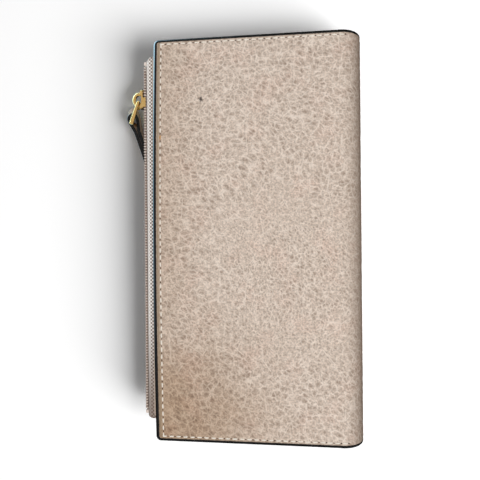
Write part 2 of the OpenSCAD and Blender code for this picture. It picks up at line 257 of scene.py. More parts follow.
def panel(name, outline, low, high, edge, material, flip=False, steps=4):
    """A flat panel with rounded edges. outline(grow) gives its points, all in one count."""
    profile = []
    for i in range(steps + 1):
        turn = math.pi / 2 * i / steps
        profile.append((low + edge * (1 - math.cos(turn)), edge * (1 - math.sin(turn))))
    profile += [(low + high - z, inset) for z, inset in reversed(profile)]
    stack = [[(x, y, WALLET_T - z if flip else z) for x, y in outline(-inset)]
             for z, inset in profile]
    return tube(name, stack, material)


def round_box(low_x, high_x, low_y, high_y, open_r, back_r=0.4, steps=6):
    """Outline maker for a rectangle whose corners are rounder on its open side."""
    def outline(grow):
        points = []
        for x, y, r, start in ((low_x, low_y, open_r, 180), (high_x, low_y, back_r, 270),
                               (high_x, high_y, back_r, 0), (low_x, high_y, open_r, 90)):
            sign_x = 1 if x == low_x else -1
            sign_y = 1 if y == low_y else -1
            for i in range(steps + 1):
                a = math.radians(start + 90 * i / steps)
                reach = max(r + grow, LEAST_R)
                points.append((x + sign_x * r + reach * math.cos(a),
                               y + sign_y * r + reach * math.sin(a)))
        return points
    return outline


# %% [markdown]
# ## Pebbled leather
# The covers are a milled, drum-dyed leather with a pale finish rubbed over it. The rub
# stays on the raised network between the pebbles and misses the pits, so the ridges are
# light and the pits brown. Pebbles could be sculpted or taken from a photograph, but a
# Voronoi texture gives cells with just such a network, at any size. Two grains are used: a
# small one in the middle and a larger one near the ends, each drawn out along its own
# direction. The same few nodes serve a shader for the colour and Geometry Nodes for
# the pressed surface, so the two agree.

# %% The grain as nodes
# Size of a pebble in millimetres, the way it is drawn out and by how much
GRAINS = ((1.5, math.radians(62), 0.7), (2.1, math.radians(36), 0.7))
# How far a grain is pushed about, and the cell of that push, in millimetres
SMALL_WARP = (0.5, 1.6)
LARGE_WARP = (9.0, 46.0)
# Where the small grain lies on the flat leather, how far it reaches, between which shares of
# that reach the large grain takes over, and the cell in which their border frays
FINE_CENTRE = (38.0, -18.0, 0.0)
FINE_REACH = 46.0
FINE_SHARES = (0.8, 1.6)
FRAY_CELL = 30.0
# Ridges and pits: where they end, as shares of a cell
RIDGE_END = 0.18
PIT_LIMITS = (0.06, 0.46)
# Cell in which pits come and go, and how the noise there is eased to a share
PIT_CELL = 2.6
PIT_EASE = (0.34, 0.56, 0.35, 1.0)


def warped(tree, place, reach, cell):
    """A place pushed about by up to a reach, by a noise of the given cell."""
    wander = add(tree, "ShaderNodeTexNoise", {"Vector": place, "Scale": 1 / cell, "Detail": 2.0})
    centred = add(tree, "ShaderNodeVectorMath", (wander.outputs["Color"], (0.5, 0.5, 0.5)),
                  operation="SUBTRACT")
    shift = add(tree, "ShaderNodeVectorMath",
                {0: centred.outputs[0], "Scale": 2 * reach}, operation="SCALE")
    return add(tree, "ShaderNodeVectorMath", (place, shift.outputs[0]), operation="ADD").outputs[0]


def grain_field(tree, place):
    """Ridge, pit and coarseness sockets of the grain at a place in millimetres."""
    wandering = warped(tree, place, *LARGE_WARP)
    away = add(tree, "ShaderNodeVectorMath", (place, FINE_CENTRE), operation="DISTANCE")
    fray = add(tree, "ShaderNodeTexNoise", {"Vector": place, "Scale": 1 / FRAY_CELL, "Detail": 1.0})
    reach = add(tree, "ShaderNodeMath", (fray.outputs[0], FINE_REACH, away.outputs["Value"]),
                operation="MULTIPLY_ADD")
    limits = [share * FINE_REACH for share in FINE_SHARES]
    coarse_share = add(tree, "ShaderNodeMapRange", (reach.outputs[0], *limits), **EASED).outputs[0]
    uneven = add(tree, "ShaderNodeTexNoise",
                 {"Vector": place, "Scale": 1 / PIT_CELL, "Detail": 2.0}).outputs[0]
    present = add(tree, "ShaderNodeMapRange", (uneven, *PIT_EASE), **EASED).outputs[0]
    ridges, pits = [], []
    for cell, turn, stretch in GRAINS:
        turned = add(tree, "ShaderNodeVectorRotate", {"Vector": wandering, "Angle": -turn})
        drawn = add(tree, "ShaderNodeVectorMath", (turned.outputs[0], (stretch, 1.0, 1.0)),
                    operation="MULTIPLY")
        pushed = warped(tree, drawn.outputs[0], *SMALL_WARP)
        edge, middle = [add(tree, "ShaderNodeTexVoronoi", {"Vector": pushed, "Scale": 1 / cell},
                            feature=feature).outputs["Distance"]
                        for feature in ("DISTANCE_TO_EDGE", "SMOOTH_F1")]
        ridges.append(add(tree, "ShaderNodeMapRange", (edge, 0.0, RIDGE_END, 1.0, 0.0), **EASED))
        pit = add(tree, "ShaderNodeMapRange", (middle, *PIT_LIMITS, 1.0, 0.0), **EASED).outputs[0]
        pits.append(add(tree, "ShaderNodeMath", (pit, present), operation="MULTIPLY"))
    sockets = [add(tree, "ShaderNodeMix",
                   {0: coarse_share, 2: fine.outputs[0], 3: coarse.outputs[0]},
                   data_type="FLOAT").outputs[0] for fine, coarse in (ridges, pits)]
    return sockets[0], sockets[1], coarse_share


# %% [markdown]
# ## The finish on the pebbles
# A finish is rubbed on by hand, so no two patches are alike. One noise for everything would
# make blush, rubs and pits rise and fall together. So each has its own noise with a cell of
# its own, and fine creases cross the pebbles here and there. Painted shade darkens the
# leather towards the open edge, one lower corner is darker with a tan tint, painted shade
# darkens the roll of the spine, and one small dark mark sits near the upper open corner.

# %% Blush, rubs, pits and creases
RIDGE_GAIN = 0.28
PIT_LOSS = 0.3
SPECK_GAIN = 0.24
# Patches of the finish: cell in millimetres, detail, where the noise starts and stops to
# count, and the least and greatest share it gives
PATCHES = {"blush": (15.0, 3.0, 0.48, 0.7, 0.0, 0.5),
           "crease": (6.0, 1.0, 0.46, 0.6, 0.0, 1.0),
           "ridge": (2.4, 2.0, 0.38, 0.62, 0.2, 0.95),
           "pit": (24.0, 1.0, 0.4, 0.6, 0.55, 1.0),
           "speck": (0.8, 2.0, 0.3, 0.7, 1 - SPECK_GAIN, 1 + SPECK_GAIN)}
CREASE_CELL = 8.0
CREASE_STRETCH = (1.0, 0.62, 1.0)
CREASE_WIDTH = 0.3


def finish_shares(tree, place):
    """Sockets of the finish: blush, pale rubs, dark pits, brightness and raw specks."""
    ridge_share, pit_share = grain_field(tree, place)[:2]
    noises, shares = {}, {}
    for label, (cell, detail, *limits) in PATCHES.items():
        noises[label] = add(tree, "ShaderNodeTexNoise", {"Vector": place, "Scale": 1 / cell,
                                                         "Detail": detail}).outputs[0]
        shares[label] = add(tree, "ShaderNodeMapRange", (noises[label], *limits),
                            **EASED).outputs[0]
    stretched = add(tree, "ShaderNodeVectorMath", (place, CREASE_STRETCH), operation="MULTIPLY")
    crease = add(tree, "ShaderNodeTexVoronoi",
                 {"Vector": stretched.outputs[0], "Scale": 1 / CREASE_CELL},
                 feature="DISTANCE_TO_EDGE").outputs["Distance"]
    line = add(tree, "ShaderNodeMapRange", (crease, 0.0, CREASE_WIDTH / CREASE_CELL, 1.0, 0.0),
               **EASED).outputs[0]
    creases, rubs, dark = [
        add(tree, "ShaderNodeMath", (share, shares[label]), operation="MULTIPLY").outputs[0]
        for share, label in ((line, "crease"), (ridge_share, "ridge"), (pit_share, "pit"))]
    pale = add(tree, "ShaderNodeMath", (rubs, creases), operation="MAXIMUM").outputs[0]
    gain = shares["speck"]
    for share, step in ((pale, RIDGE_GAIN), (dark, -PIT_LOSS)):
        gain = add(tree, "ShaderNodeMath", (share, step, gain), operation="MULTIPLY_ADD").outputs[0]
    return shares["blush"], pale, dark, gain, noises["speck"]


# %% Painted shade at the open edge and on the spine's roll, the darker corner and the mark
# Painted shade on the roll of the spine: how far it reaches and its share at the middle
SPINE_SHADE_REACH = 16.5
SPINE_SHADE_SHARE = 0.95
# Painted shade towards the open edge: how far it reaches and its greatest share
EDGE_REACH = 30.0
EDGE_SHARE = 0.4
HALF_WIDTH = 101.0
SHADE_PLACE = (97.0, -88.0, 0.0)
SHADE_REACH = 58.0
# Shares of that reach: how far its rim frays, and where the tint starts and ends
SHADE_FRAY_SHARE = 0.6
SHADE_SHARES = (0.3, 1.6)
SHADE_CELL = 24.0
MARK_PLACE = (78.0, 64.0, 0.0)
MARK_EASE = (1.25, 2.1, 0.9, 0.0)
MARK_FRAY = 1.6


def wear_shares(tree, place, speck):
    """Shares of the tan tint (painted shade towards the open edge and a darker lower corner), of the
    dark mark and of the painted shade on the spine's roll.
    """
    away = add(tree, "ShaderNodeVectorMath", (place, SHADE_PLACE), operation="DISTANCE")
    cloud = add(tree, "ShaderNodeTexNoise", {"Vector": place, "Scale": 1 / SHADE_CELL,
                                             "Detail": 2.0}).outputs[0]
    blurred = add(tree, "ShaderNodeMath",
                  (cloud, SHADE_FRAY_SHARE * SHADE_REACH, away.outputs["Value"]),
                  operation="MULTIPLY_ADD").outputs[0]
    limits = [share * SHADE_REACH for share in SHADE_SHARES]
    corner = add(tree, "ShaderNodeMapRange", (blurred, *limits, 1.0, 0.0), **EASED).outputs[0]
    along = add(tree, "ShaderNodeSeparateXYZ", (place,)).outputs[0]
    from_spine = add(tree, "ShaderNodeMath", (along,), operation="ABSOLUTE").outputs[0]
    # Painted shade towards the open edge
    edge = add(tree, "ShaderNodeMapRange",
               (from_spine, HALF_WIDTH - EDGE_REACH, HALF_WIDTH, 0.0, EDGE_SHARE),
               **EASED).outputs[0]
    edge_shade_and_corner = add(tree, "ShaderNodeMath", (corner, edge), operation="MAXIMUM").outputs[0]
    from_mark = add(tree, "ShaderNodeVectorMath", (place, MARK_PLACE), operation="DISTANCE")
    spread = add(tree, "ShaderNodeMath", (speck, MARK_FRAY, from_mark.outputs["Value"]),
                 operation="MULTIPLY_ADD").outputs[0]
    marked = add(tree, "ShaderNodeMapRange", (spread, *MARK_EASE), **EASED).outputs[0]
    # Painted shade on the roll of the spine
    roll_painted_shading = add(tree, "ShaderNodeMapRange", (from_spine, 0.0, SPINE_SHADE_REACH, SPINE_SHADE_SHARE, 0.0),
                 **EASED).outputs[0]
    return edge_shade_and_corner, marked, roll_painted_shading


# %% [markdown]
# ## Lay the colours on
# The colours go on one after another: blush over the base, pits and ridges, the tan tint of
# painted shade at the open edge and of one darker corner, the mark, the painted shade of the
# strip outside the stitches and the painted shade on the roll of the spine. A single colour
# ramp would be shorter, but each coat could no longer be changed by itself.
# Nearly all of it reads one attribute, the place on the flat leather, so the pattern runs
# on round the spine.

# %% Pebbled cover leather
PIT_COAT = 0.5
RIDGE_COAT = 0.5
PIT_RELIEF = -0.6
SPECK_RELIEF = 0.7
ROUGH_PIT = 0.58
ROUGH_RIDGE = 0.46


def cover_leather(name, base, ridge, pit, blush, shade, strip_shade, spine_roll_shade, mark):
    """Milled leather with a rubbed finish: soft sheen, pale ridges, brown pits, warm patches."""
    made, tree, shader = new_material(name, roughness=0.5, specular_ior_level=0.2)
    place = add(tree, "ShaderNodeAttribute", attribute_name="flat").outputs["Vector"]
    rim = add(tree, "ShaderNodeAttribute", attribute_name="rim").outputs["Fac"]
    blushed, pale, dark, gain, speck = finish_shares(tree, place)
    edge_shade_and_corner, marked, roll_painted_shading = wear_shares(tree, place, speck)
    toned = layered(tree, linear(base), (blushed, linear(blush)))
    toned = add(tree, "ShaderNodeVectorMath", {0: toned, "Scale": gain},
                operation="SCALE").outputs[0]
    for share, coat, colour in ((dark, PIT_COAT, pit), (pale, RIDGE_COAT, ridge)):
        thin = add(tree, "ShaderNodeMath", (share, coat), operation="MULTIPLY").outputs[0]
        toned = layered(tree, toned, (thin, linear(colour)))
    # The tan tint is painted shade towards the open edge, and a darker lower corner
    tint = layered(tree, linear("ffffff"), (edge_shade_and_corner, linear(shade)))
    toned = add(tree, "ShaderNodeVectorMath", (toned, tint), operation="MULTIPLY").outputs[0]
    # Over the mark go the painted shade of the strip outside the stitches and the painted shade on
    # the roll of the spine
    toned = layered(tree, toned, (marked, linear(mark)), (rim, linear(strip_shade)),
                    (roll_painted_shading, linear(spine_roll_shade)))
    low = add(tree, "ShaderNodeMath", (dark, PIT_RELIEF, pale), operation="MULTIPLY_ADD").outputs[0]
    height = add(tree, "ShaderNodeMath", (speck, SPECK_RELIEF, low),
                 operation="MULTIPLY_ADD").outputs[0]
    dress(tree, shader, toned, height, strength=0.6, depth=0.15)
    rough = add(tree, "ShaderNodeMapRange", (pale, 0.0, 1.0, ROUGH_PIT, ROUGH_RIDGE), **EASED)
    tree.links.new(rough.outputs[0], shader.inputs["Roughness"])
    return made


COVER_LEATHER = cover_leather("milled_leather", base="c4b3a5", ridge="eadfd4", pit="a18b79",
                              blush="c9b0a1", shade="d2c2b0", strip_shade="94806a", spine_roll_shade="6f5b4a",
                              mark="453c38")
print("leather:", COVER_LEATHER.name)

# %% [markdown]
# ## Fine leather for the inside
# Card slots, pocket walls and the pull use thinner split leather with a printed fine grain.
# A print is the same everywhere, so one Voronoi network of small cells is enough. It is
# read from each object's own coordinates, turned to millimetres, because these panels lie
# flat and need no unrolling.

# %% Fine leather
CLOUD_CELL = 9.0


def in_millimetres(tree, stretch=(1.0, 1.0, 1.0)):
    """Object coordinates in millimetres, stretched along each axis if asked."""
    place = add(tree, "ShaderNodeTexCoord").outputs["Object"]
    factors = tuple(s / MM for s in stretch)
    return add(tree, "ShaderNodeVectorMath", (place, factors), operation="MULTIPLY").outputs[0]


def fine_leather(name, base, light, dark, cell, roughness=0.52):
    """Printed split leather: an even small grain, a little lighter on its ridges."""
    made, tree, shader = new_material(name, roughness=roughness, specular_ior_level=0.12)
    place = in_millimetres(tree)
    edge = add(tree, "ShaderNodeTexVoronoi", {"Vector": place, "Scale": 1 / cell},
               feature="DISTANCE_TO_EDGE").outputs["Distance"]
    ridge = add(tree, "ShaderNodeMapRange", (edge, 0.0, 0.22, 1.0, 0.0), **EASED).outputs[0]
    cloud = add(tree, "ShaderNodeTexNoise", {"Vector": place, "Scale": 1 / CLOUD_CELL,
                                             "Detail": 3.0}).outputs[0]
    share = add(tree, "ShaderNodeMath", (ridge, 0.45), operation="MULTIPLY").outputs[0]
    toned = layered(tree, linear(dark), (cloud, linear(base)), (share, linear(light)))
    dress(tree, shader, toned, ridge, strength=0.5, depth=0.06)
    return made


SLOT_LEATHER = fine_leather("split_leather_slots", "c4b2a2", "d6c7b9", "b39f8e", cell=1.1)
POCKET_LEATHER = fine_leather("split_leather_pocket", "c3b0a0", "d3c4b6", "ab9786", cell=1.0)
TAB_LEATHER = fine_leather("split_leather_pull", "c9b29c", "dcc7b2", "a8927b", cell=0.9,
                           roughness=0.62)
print("fine leathers:", SLOT_LEATHER.name, POCKET_LEATHER.name, TAB_LEATHER.name)

# %% [markdown]
# ## Edge paint
# Cut leather edges are sealed with several coats of black edge paint. It dries to a smooth
# dome with a wet shine. A plain black gloss would look like plastic, so brush ripples and
# faintly rubbed spots come from one slow noise.

# %% Edge paint
RIPPLE_CELL = 6.0


def edge_paint(name, colour, wear):
    """Acrylic edge paint: nearly black, glossy, with faint brush ripples and rubbed spots."""
    made, tree, shader = new_material(name, roughness=0.14, specular_ior_level=0.26)
    rubbing_and_highlight = add(tree, "ShaderNodeTexNoise", {"Vector": in_millimetres(tree),
                                              "Scale": 1 / RIPPLE_CELL, "Detail": 4.0}).outputs[0]
    share = add(tree, "ShaderNodeMapRange", (rubbing_and_highlight, 0.5, 0.8, 0.0, 0.5)).outputs[0]
    toned = layered(tree, linear(colour), (share, linear(wear)))
    dress(tree, shader, toned, rubbing_and_highlight, strength=0.25, depth=0.1)
    return made


EDGE_PAINT = edge_paint("acrylic_edge_paint", "08090c", "15181c")
print("edge paint:", EDGE_PAINT.name)

# %% [markdown]
# ## Lining and board
# The lining is a thin polyester twill. Its diagonal ribs could be woven as geometry, but
# 1.3 mm apart they are too fine for that, so a banded wave texture draws them. The
# stiffener is a bonded leather board: ground fibres pressed into a sheet, which shows only
# at its cut edge as a mottle that is drawn out along the sheet.

# %% Woven and fibrous sheets
# Distance of the twill's ribs along X or Y, and of the diagonal bands of a wave texture
# of scale 1
TWILL_MM = 1.8
WAVE_BANDS = 0.628
TWILL_YARN = 0.6
FIBRE_MM = 0.5


def twill(name, base, light):
    """Polyester twill lining: fine diagonal ribs with a soft sheen along them."""
    made, tree, shader = new_material(name, roughness=0.62, sheen_weight=0.08,
                                      sheen_roughness=0.4, specular_ior_level=0.12)
    place = in_millimetres(tree)
    ribs = add(tree, "ShaderNodeTexWave", {"Vector": place, "Scale": WAVE_BANDS / TWILL_MM,
                                           "Distortion": 0.4, "Detail Scale": 2.0},
               wave_type="BANDS", bands_direction="DIAGONAL", wave_profile="SIN").outputs["Fac"]
    yarn = add(tree, "ShaderNodeTexNoise", {"Vector": place, "Scale": 1 / TWILL_YARN,
                                            "Detail": 2.0}).outputs[0]
    share = add(tree, "ShaderNodeMath", (ribs, yarn), operation="MULTIPLY").outputs[0]
    toned = layered(tree, linear(base), (share, linear(light)))
    dress(tree, shader, toned, ribs, strength=0.4, depth=0.08)
    return made


def fibre_board(name, base, dark):
    """Bonded leather board: matt, mottled with short fibres."""
    made, tree, shader = new_material(name, roughness=0.85, specular_ior_level=0.2)
    fibres = add(tree, "ShaderNodeTexNoise", {"Vector": in_millimetres(tree, (1.0, 0.3, 2.0)),
                                              "Scale": 1 / FIBRE_MM, "Detail": 4.0}).outputs[0]
    toned = layered(tree, linear(base), (fibres, linear(dark)))
    dress(tree, shader, toned, fibres, strength=0.4, depth=0.06)
    return made


LINING = twill("polyester_twill_lining", "33291f", "5d4d3f")
POCKET_LINING = twill("polyester_twill_pocket", "45392e", "6d5c4c")
BOARD = fibre_board("bonded_leather_board", "97897a", "7b6d5f")
print("sheets:", LINING.name, POCKET_LINING.name, BOARD.name)

# %% [markdown]
# ## Zip tape, zip teeth, metal and thread
# The tape is a dense weave of polyester yarns. They are drawn as rows and columns of small
# bumps, coarser than the real 0.25 mm yarns so that they still show from above. The tape
# has a painted highlight where it rolls over at the mouth, is darker towards its lower end,
# and has painted shade where the cover shades it. The teeth are moulded polyester, painted
# nearly as pale as the tape's highlight, paler than their own colour, to make up for the
# shade they sit in. The slider, the bridge and the pull link are die-cast zinc with a pale
# gold plating, and the thread is bonded polyester. Teeth, metal and thread could each have a
# pattern of their own, but none would show from here, so a faint mottle serves them all.

# %% Zip tape
YARN_MM = 1.7
TAPE_FRONT_X = span("zip_upper_tape")[0].x
# Each patch of the tape: axis, where it starts and stops, and its share at both
# The first patch is a painted highlight where the tape rolls over, the second only darkens the tape
# towards its lower end, and the third is painted shade where the cover shades it
TAPE_ROLL_HIGHLIGHT = ("X", TAPE_FRONT_X + 0.9, TAPE_FRONT_X + 2.1, 0.8, 0.0)
TAPE_DARK_END = ("Y", -85.0, -30.0, 0.75, 0.0)
TAPE_HIDDEN = ("X", TAPE_FRONT_X + 2.4, TAPE_FRONT_X + 4.2, 0.0, 0.75)


def woven_tape(name, low, high, rubbing_and_highlight, dark):
    """Woven polyester tape: two crossing sets of yarns, dark where they dive."""
    made, tree, shader = new_material(name, roughness=0.75, sheen_weight=0.06,
                                      sheen_roughness=0.35, specular_ior_level=0.1)
    parts = add(tree, "ShaderNodeSeparateXYZ", (in_millimetres(tree),)).outputs
    across = add(tree, "ShaderNodeMath", (parts["X"], parts["Z"]), operation="ADD").outputs[0]
    waves = []
    for distance in (across, parts["Y"]):
        angle = add(tree, "ShaderNodeMath", (distance, math.tau / YARN_MM), operation="MULTIPLY")
        waves.append(add(tree, "ShaderNodeMath", (angle.outputs[0],), operation="SINE").outputs[0])
    crossing = add(tree, "ShaderNodeMath", waves, operation="MULTIPLY").outputs[0]
    tuft = add(tree, "ShaderNodeMapRange", (crossing, -0.5, 0.5), **EASED).outputs[0]
    # Painted highlight on the roll, darkening towards the lower end, and painted shade under the
    # cover
    roll_painted_shading, dark_end, hidden = [
        add(tree, "ShaderNodeMapRange", (parts[axis], *limits), **EASED).outputs[0]
        for axis, *limits in (TAPE_ROLL_HIGHLIGHT, TAPE_DARK_END, TAPE_HIDDEN)]
    dark_end_and_cover_shade = add(tree, "ShaderNodeMath", (dark_end, hidden), operation="MAXIMUM").outputs[0]
    toned = layered(tree, linear(low), (tuft, linear(high)), (roll_painted_shading, linear(rubbing_and_highlight)),
                    (dark_end_and_cover_shade, linear(dark)))
    dress(tree, shader, toned, tuft, strength=0.6, depth=0.12)
    return made


ZIP_TAPE = woven_tape("woven_polyester_tape", "76655b", "f6f0ea", "f4efea", "664f40")
print("tape:", ZIP_TAPE.name, "yarns drawn", YARN_MM, "mm apart")


# %% Plain finishes
def speckled(name, base, dark, cell, depth, **values):
    """A finish with a soft mottle of the given cell size, for moulded, spun or cast pieces."""
    made, tree, shader = new_material(name, **values)
    mottle = add(tree, "ShaderNodeTexNoise", {"Vector": in_millimetres(tree), "Scale": 1 / cell,
                                              "Detail": 3.0}).outputs[0]
    toned = layered(tree, linear(base), (mottle, linear(dark)))
    dress(tree, shader, toned, mottle, strength=0.3, depth=depth)
    return made


# The teeth's colour is painted paler than their own, to make up for the shade they sit in
ZIP_TEETH = speckled("moulded_polyester_teeth", "efe4db", "b7a396", cell=1.2, depth=0.02,
                     roughness=0.38, specular_ior_level=0.5)
GOLD = speckled("pale_gold_plated_zinc", "edd093", "d0a660", cell=3.0, depth=0.004,
                metallic=1.0, roughness=0.13)
THREAD = speckled("bonded_polyester_thread", "f8f3ea", "e0d5c4", cell=0.35, depth=0.04,
                  roughness=0.6, sheen_weight=0.2)
GOLD_THREAD = speckled("bonded_polyester_thread_tan", "c08f4e", "a8773c", cell=0.35, depth=0.04,
                       roughness=0.6, sheen_weight=0.2)
NEEDLE_HOLE = speckled("needle_hole_shadow", "4a3324", "2f2018", cell=0.4, depth=0.02,
                       roughness=0.9)
print("materials:", len(bpy.data.materials))

# %% [markdown]
# ## The cover leather
# On the real wallet one hide wraps the front, the spine and the back. Here it is cut along
# the middle of the spine into two halves. A flat sheet could be bent by a modifier, but then
# the stitches and the paint would have to follow it.
# So each half is a grid laid over the unrolled leather by a rule that they can share: s
# runs from the middle of the spine round the roll and on to the open edge, y runs along the
# spine. The outer face is rounded down at the free edges and has a groove under the
# stitches, and the grain is pressed in afterwards.

# %% Where the leather lies
QUARTER = SPINE_R * math.pi / 2
RIM_DROP = 0.3
RIM_REACH = 0.9
STITCH_OPEN = 2.1
STITCH_END = 1.15
GROOVE_DEPTH = 0.2
GROOVE_WIDTH = 0.5
# The hide swells a little away from its edges, in waves whose length is tau times these
SWELL = 0.12
SWELL_FADE = 6.0
WAVE_ACROSS = (13.0, 11.0)
WAVE_ALONG = (17.0, 21.0)
# Painted shade on the strip outside the stitches, which slopes away from the light: past the
# seam, its soft edge, and its darker painted line of groove shade with the line's place as a
# share of the strip
STRIP_SHADE_PAST = 0.1
STRIP_SHADE_EDGE = 0.3
STRIP_SHADE_LINE = 0.25
STRIP_SHADE_LINE_SHARE = 0.4
# A groove stops at this share of the other seam's distance from its edge
GROOVE_PAST_SHARE = 0.8


def open_edge_x(y):
    """X of the leather's open edge at a distance y along the spine."""
    straight = COVER_HALF - CORNER_R
    if abs(y) <= straight:
        return OPEN_X - EDGE_BOW * (1 - (y / straight) ** 2)
    drop = abs(y) - straight
    return OPEN_X + CORNER_R - math.sqrt(max(CORNER_R ** 2 - drop ** 2, 0.0))


def on_cover(s, y, depth, front):
    """Point of a cover, s from the middle of the spine and depth under the outer face."""
    if s < QUARTER:
        angle = s / SPINE_R
        x = SPINE_X + (SPINE_R - depth) * math.cos(angle)
        z = MID_Z + (SPINE_R - depth) * math.sin(angle)
    else:
        x = SPINE_X - (s - QUARTER)
        z = WALLET_T - depth
    return (x, y, z if front else WALLET_T - z)


def hump(distance, width):
    """A smooth bump that is 1 at no distance and dies out past the width."""
    return math.exp(-(distance / width) ** 2)


def leather_depth(s, y):
    """How far the outer face lies under the outline, its share of painted shade on the edge strip and
    how far it is pressed.
    """
    to_open = QUARTER + SPINE_X - open_edge_x(y) - s
    to_end = COVER_HALF - abs(y)
    near = min(to_open, to_end)
    rim = max(1 - near / RIM_REACH, 0.0) ** 2
    groove = 0.0
    if to_end > GROOVE_PAST_SHARE * STITCH_END:
        groove = hump(to_open - STITCH_OPEN, GROOVE_WIDTH)
    if to_open > GROOVE_PAST_SHARE * STITCH_OPEN:
        groove = max(groove, hump(to_end - STITCH_END, GROOVE_WIDTH))
    wave = (math.sin(s / WAVE_ACROSS[0] + math.sin(y / WAVE_ALONG[1]))
            * math.sin(y / WAVE_ALONG[0] + 0.6 * math.sin(s / WAVE_ACROSS[1])))
    swell = SWELL / 2 * (1 + wave) * min(near / SWELL_FADE, 1)
    depth = RIM_DROP * rim + GROOVE_DEPTH * groove + swell
    # Painted shade on the strip outside the stitches, with a darker painted line of groove shade in
    # it
    strip = min(max((STITCH_OPEN + STRIP_SHADE_PAST - to_open) / STRIP_SHADE_EDGE, 0.0), 1.0)
    line = hump(to_open - STRIP_SHADE_LINE_SHARE * STITCH_OPEN, STRIP_SHADE_LINE)
    strip_shade = max(strip * (0.45 + 0.55 * line), 0.5 * max(1 - to_end / STITCH_END, 0.0))
    return depth, strip_shade, max(1 - rim - groove, 0.0)


def graded(low, high, step, fine, reach):
    """Places from low to high, closer together within reach of both ends."""
    edge = list(np.arange(0, reach, fine))
    middle = np.linspace(low + reach, high - reach, int((high - low - 2 * reach) / step) + 1)
    return [low + e for e in edge] + list(middle) + [high - e for e in reversed(edge)]


print("leather from spine to open edge:", round(QUARTER + SPINE_X - OPEN_X, 1), "mm")

# %% Build one half of the hide
GRID_MM = 0.72
FINE_MM = 0.25
FINE_RIM = 3.0
# Fine faces aren't needed where the two halves meet, so the first one is longer than this
FIRST_FACE = 0.9
# In the pattern, the inner face lies this far under the outer one
INNER_MARK = 5.0


def hide_half(name, front):
    """Half of the hide, from the middle of the spine to the open edge, as a closed sheet."""
    ys = graded(-COVER_HALF, COVER_HALF, GRID_MM, FINE_MM, FINE_RIM)
    widest = QUARTER + SPINE_X - OPEN_X + EDGE_BOW
    places = graded(0.0, widest, GRID_MM, FINE_MM, FINE_RIM)
    shares = [0.0] + [s / widest for s in places if s > FIRST_FACE]
    points, flats, rims, presses = [], [], [], []
    for outer in (True, False):
        for y in ys:
            reach = QUARTER + SPINE_X - open_edge_x(y)
            for share in shares:
                s = share * reach
                depth, strip_shade, press = leather_depth(s, y)
                points.append(on_cover(s, y, depth if outer else LEATHER_T, front))
                flats.append((s if front else -s, y, 0.0 if outer else INNER_MARK))
                rims.append(strip_shade if outer else 0.0)
                presses.append(press if outer else 0.0)
    made = make_object(name, points, grid_faces(len(ys), len(shares)), COVER_LEATHER)
    for label, kind, field, values in (("flat", "FLOAT_VECTOR", "vector", flats),
                                       ("rim", "FLOAT", "value", rims),
                                       ("press", "FLOAT", "value", presses)):
        layer = made.data.attributes.new(label, kind, "POINT")
        layer.data.foreach_set(field, np.array(values, np.float32).ravel())
    point_outwards(made)
    return made


# %% Press the grain into the outer face
PRESS_DEPTH = 0.08


def geometry_tree(name, sizes):
    """An empty geometry tree with a mesh in and out and the named sizes as inputs."""
    tree = bpy.data.node_groups.new(name, "GeometryNodeTree")
    face = tree.interface
    face.new_socket("Geometry", in_out="INPUT", socket_type="NodeSocketGeometry")
    for label, value in sizes.items():
        face.new_socket(label, in_out="INPUT", socket_type="NodeSocketFloat").default_value = value
    face.new_socket("Geometry", in_out="OUTPUT", socket_type="NodeSocketGeometry")
    return tree, add(tree, "NodeGroupInput"), add(tree, "NodeGroupOutput")


def run_tree(made, tree, sizes):
    """Runs a geometry tree on an object, with its inputs set by identifier."""
    step = made.modifiers.new(tree.name, "NODES")
    step.node_group = tree
    for item in tree.interface.items_tree:
        if item.in_out == "INPUT" and item.name in sizes:
            step[item.identifier] = sizes[item.name]
    return bake_modifiers(made)


def realized(tree, geometry, finish):
    """Instances made real and given their material, because the export drops instances."""
    real = add(tree, "GeometryNodeRealizeInstances", {"Geometry": geometry})
    return add(tree, "GeometryNodeSetMaterial",
               {"Geometry": real.outputs[0], "Material": finish}).outputs[0]


def grain_press():
    """Tree that sinks the pits and lifts the ridges of the leather's outer face."""
    tree, source, result = geometry_tree("grain_press", {"Depth": PRESS_DEPTH * MM})
    flat, press = [add(tree, "GeometryNodeInputNamedAttribute", {"Name": label},
                       data_type=kind).outputs[0]
                   for label, kind in (("flat", "FLOAT_VECTOR"), ("press", "FLOAT"))]
    ridge, pit, coarse = grain_field(tree, flat)
    relief = add(tree, "ShaderNodeMath", (ridge, pit), operation="SUBTRACT").outputs[0]
    lift = add(tree, "ShaderNodeMath", (relief, -1.0), operation="ADD").outputs[0]
    for factor in (press, coarse, source.outputs["Depth"]):
        lift = add(tree, "ShaderNodeMath", (lift, factor), operation="MULTIPLY").outputs[0]
    normal = add(tree, "GeometryNodeInputNormal").outputs[0]
    offset = add(tree, "ShaderNodeVectorMath", {0: normal, "Scale": lift}, operation="SCALE")
    moved = add(tree, "GeometryNodeSetPosition",
                {"Geometry": source.outputs["Geometry"], "Offset": offset.outputs[0]})
    tree.links.new(realized(tree, moved.outputs[0], COVER_LEATHER), result.inputs[0])
    return tree


GRAIN_PRESS = grain_press()


def bend_round_spine(made, front):
    """Bakes a piece's place into its mesh; it does not bend the piece round the spine."""
    if front:
        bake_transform(made)
    else:
        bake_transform(made)


for side, is_front in (("front", True), ("back", False)):
    hide = hide_half(side + "_hide", is_front)
    run_tree(hide, GRAIN_PRESS, {"Depth": PRESS_DEPTH * MM})
    hide.data.set_sharp_from_angle(angle=math.radians(SHEET_SHARP))
    bend_round_spine(hide, is_front)
    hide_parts(side + "_leather", "spine_leather")
    print(hide.name, "faces:", len(hide.data.polygons))

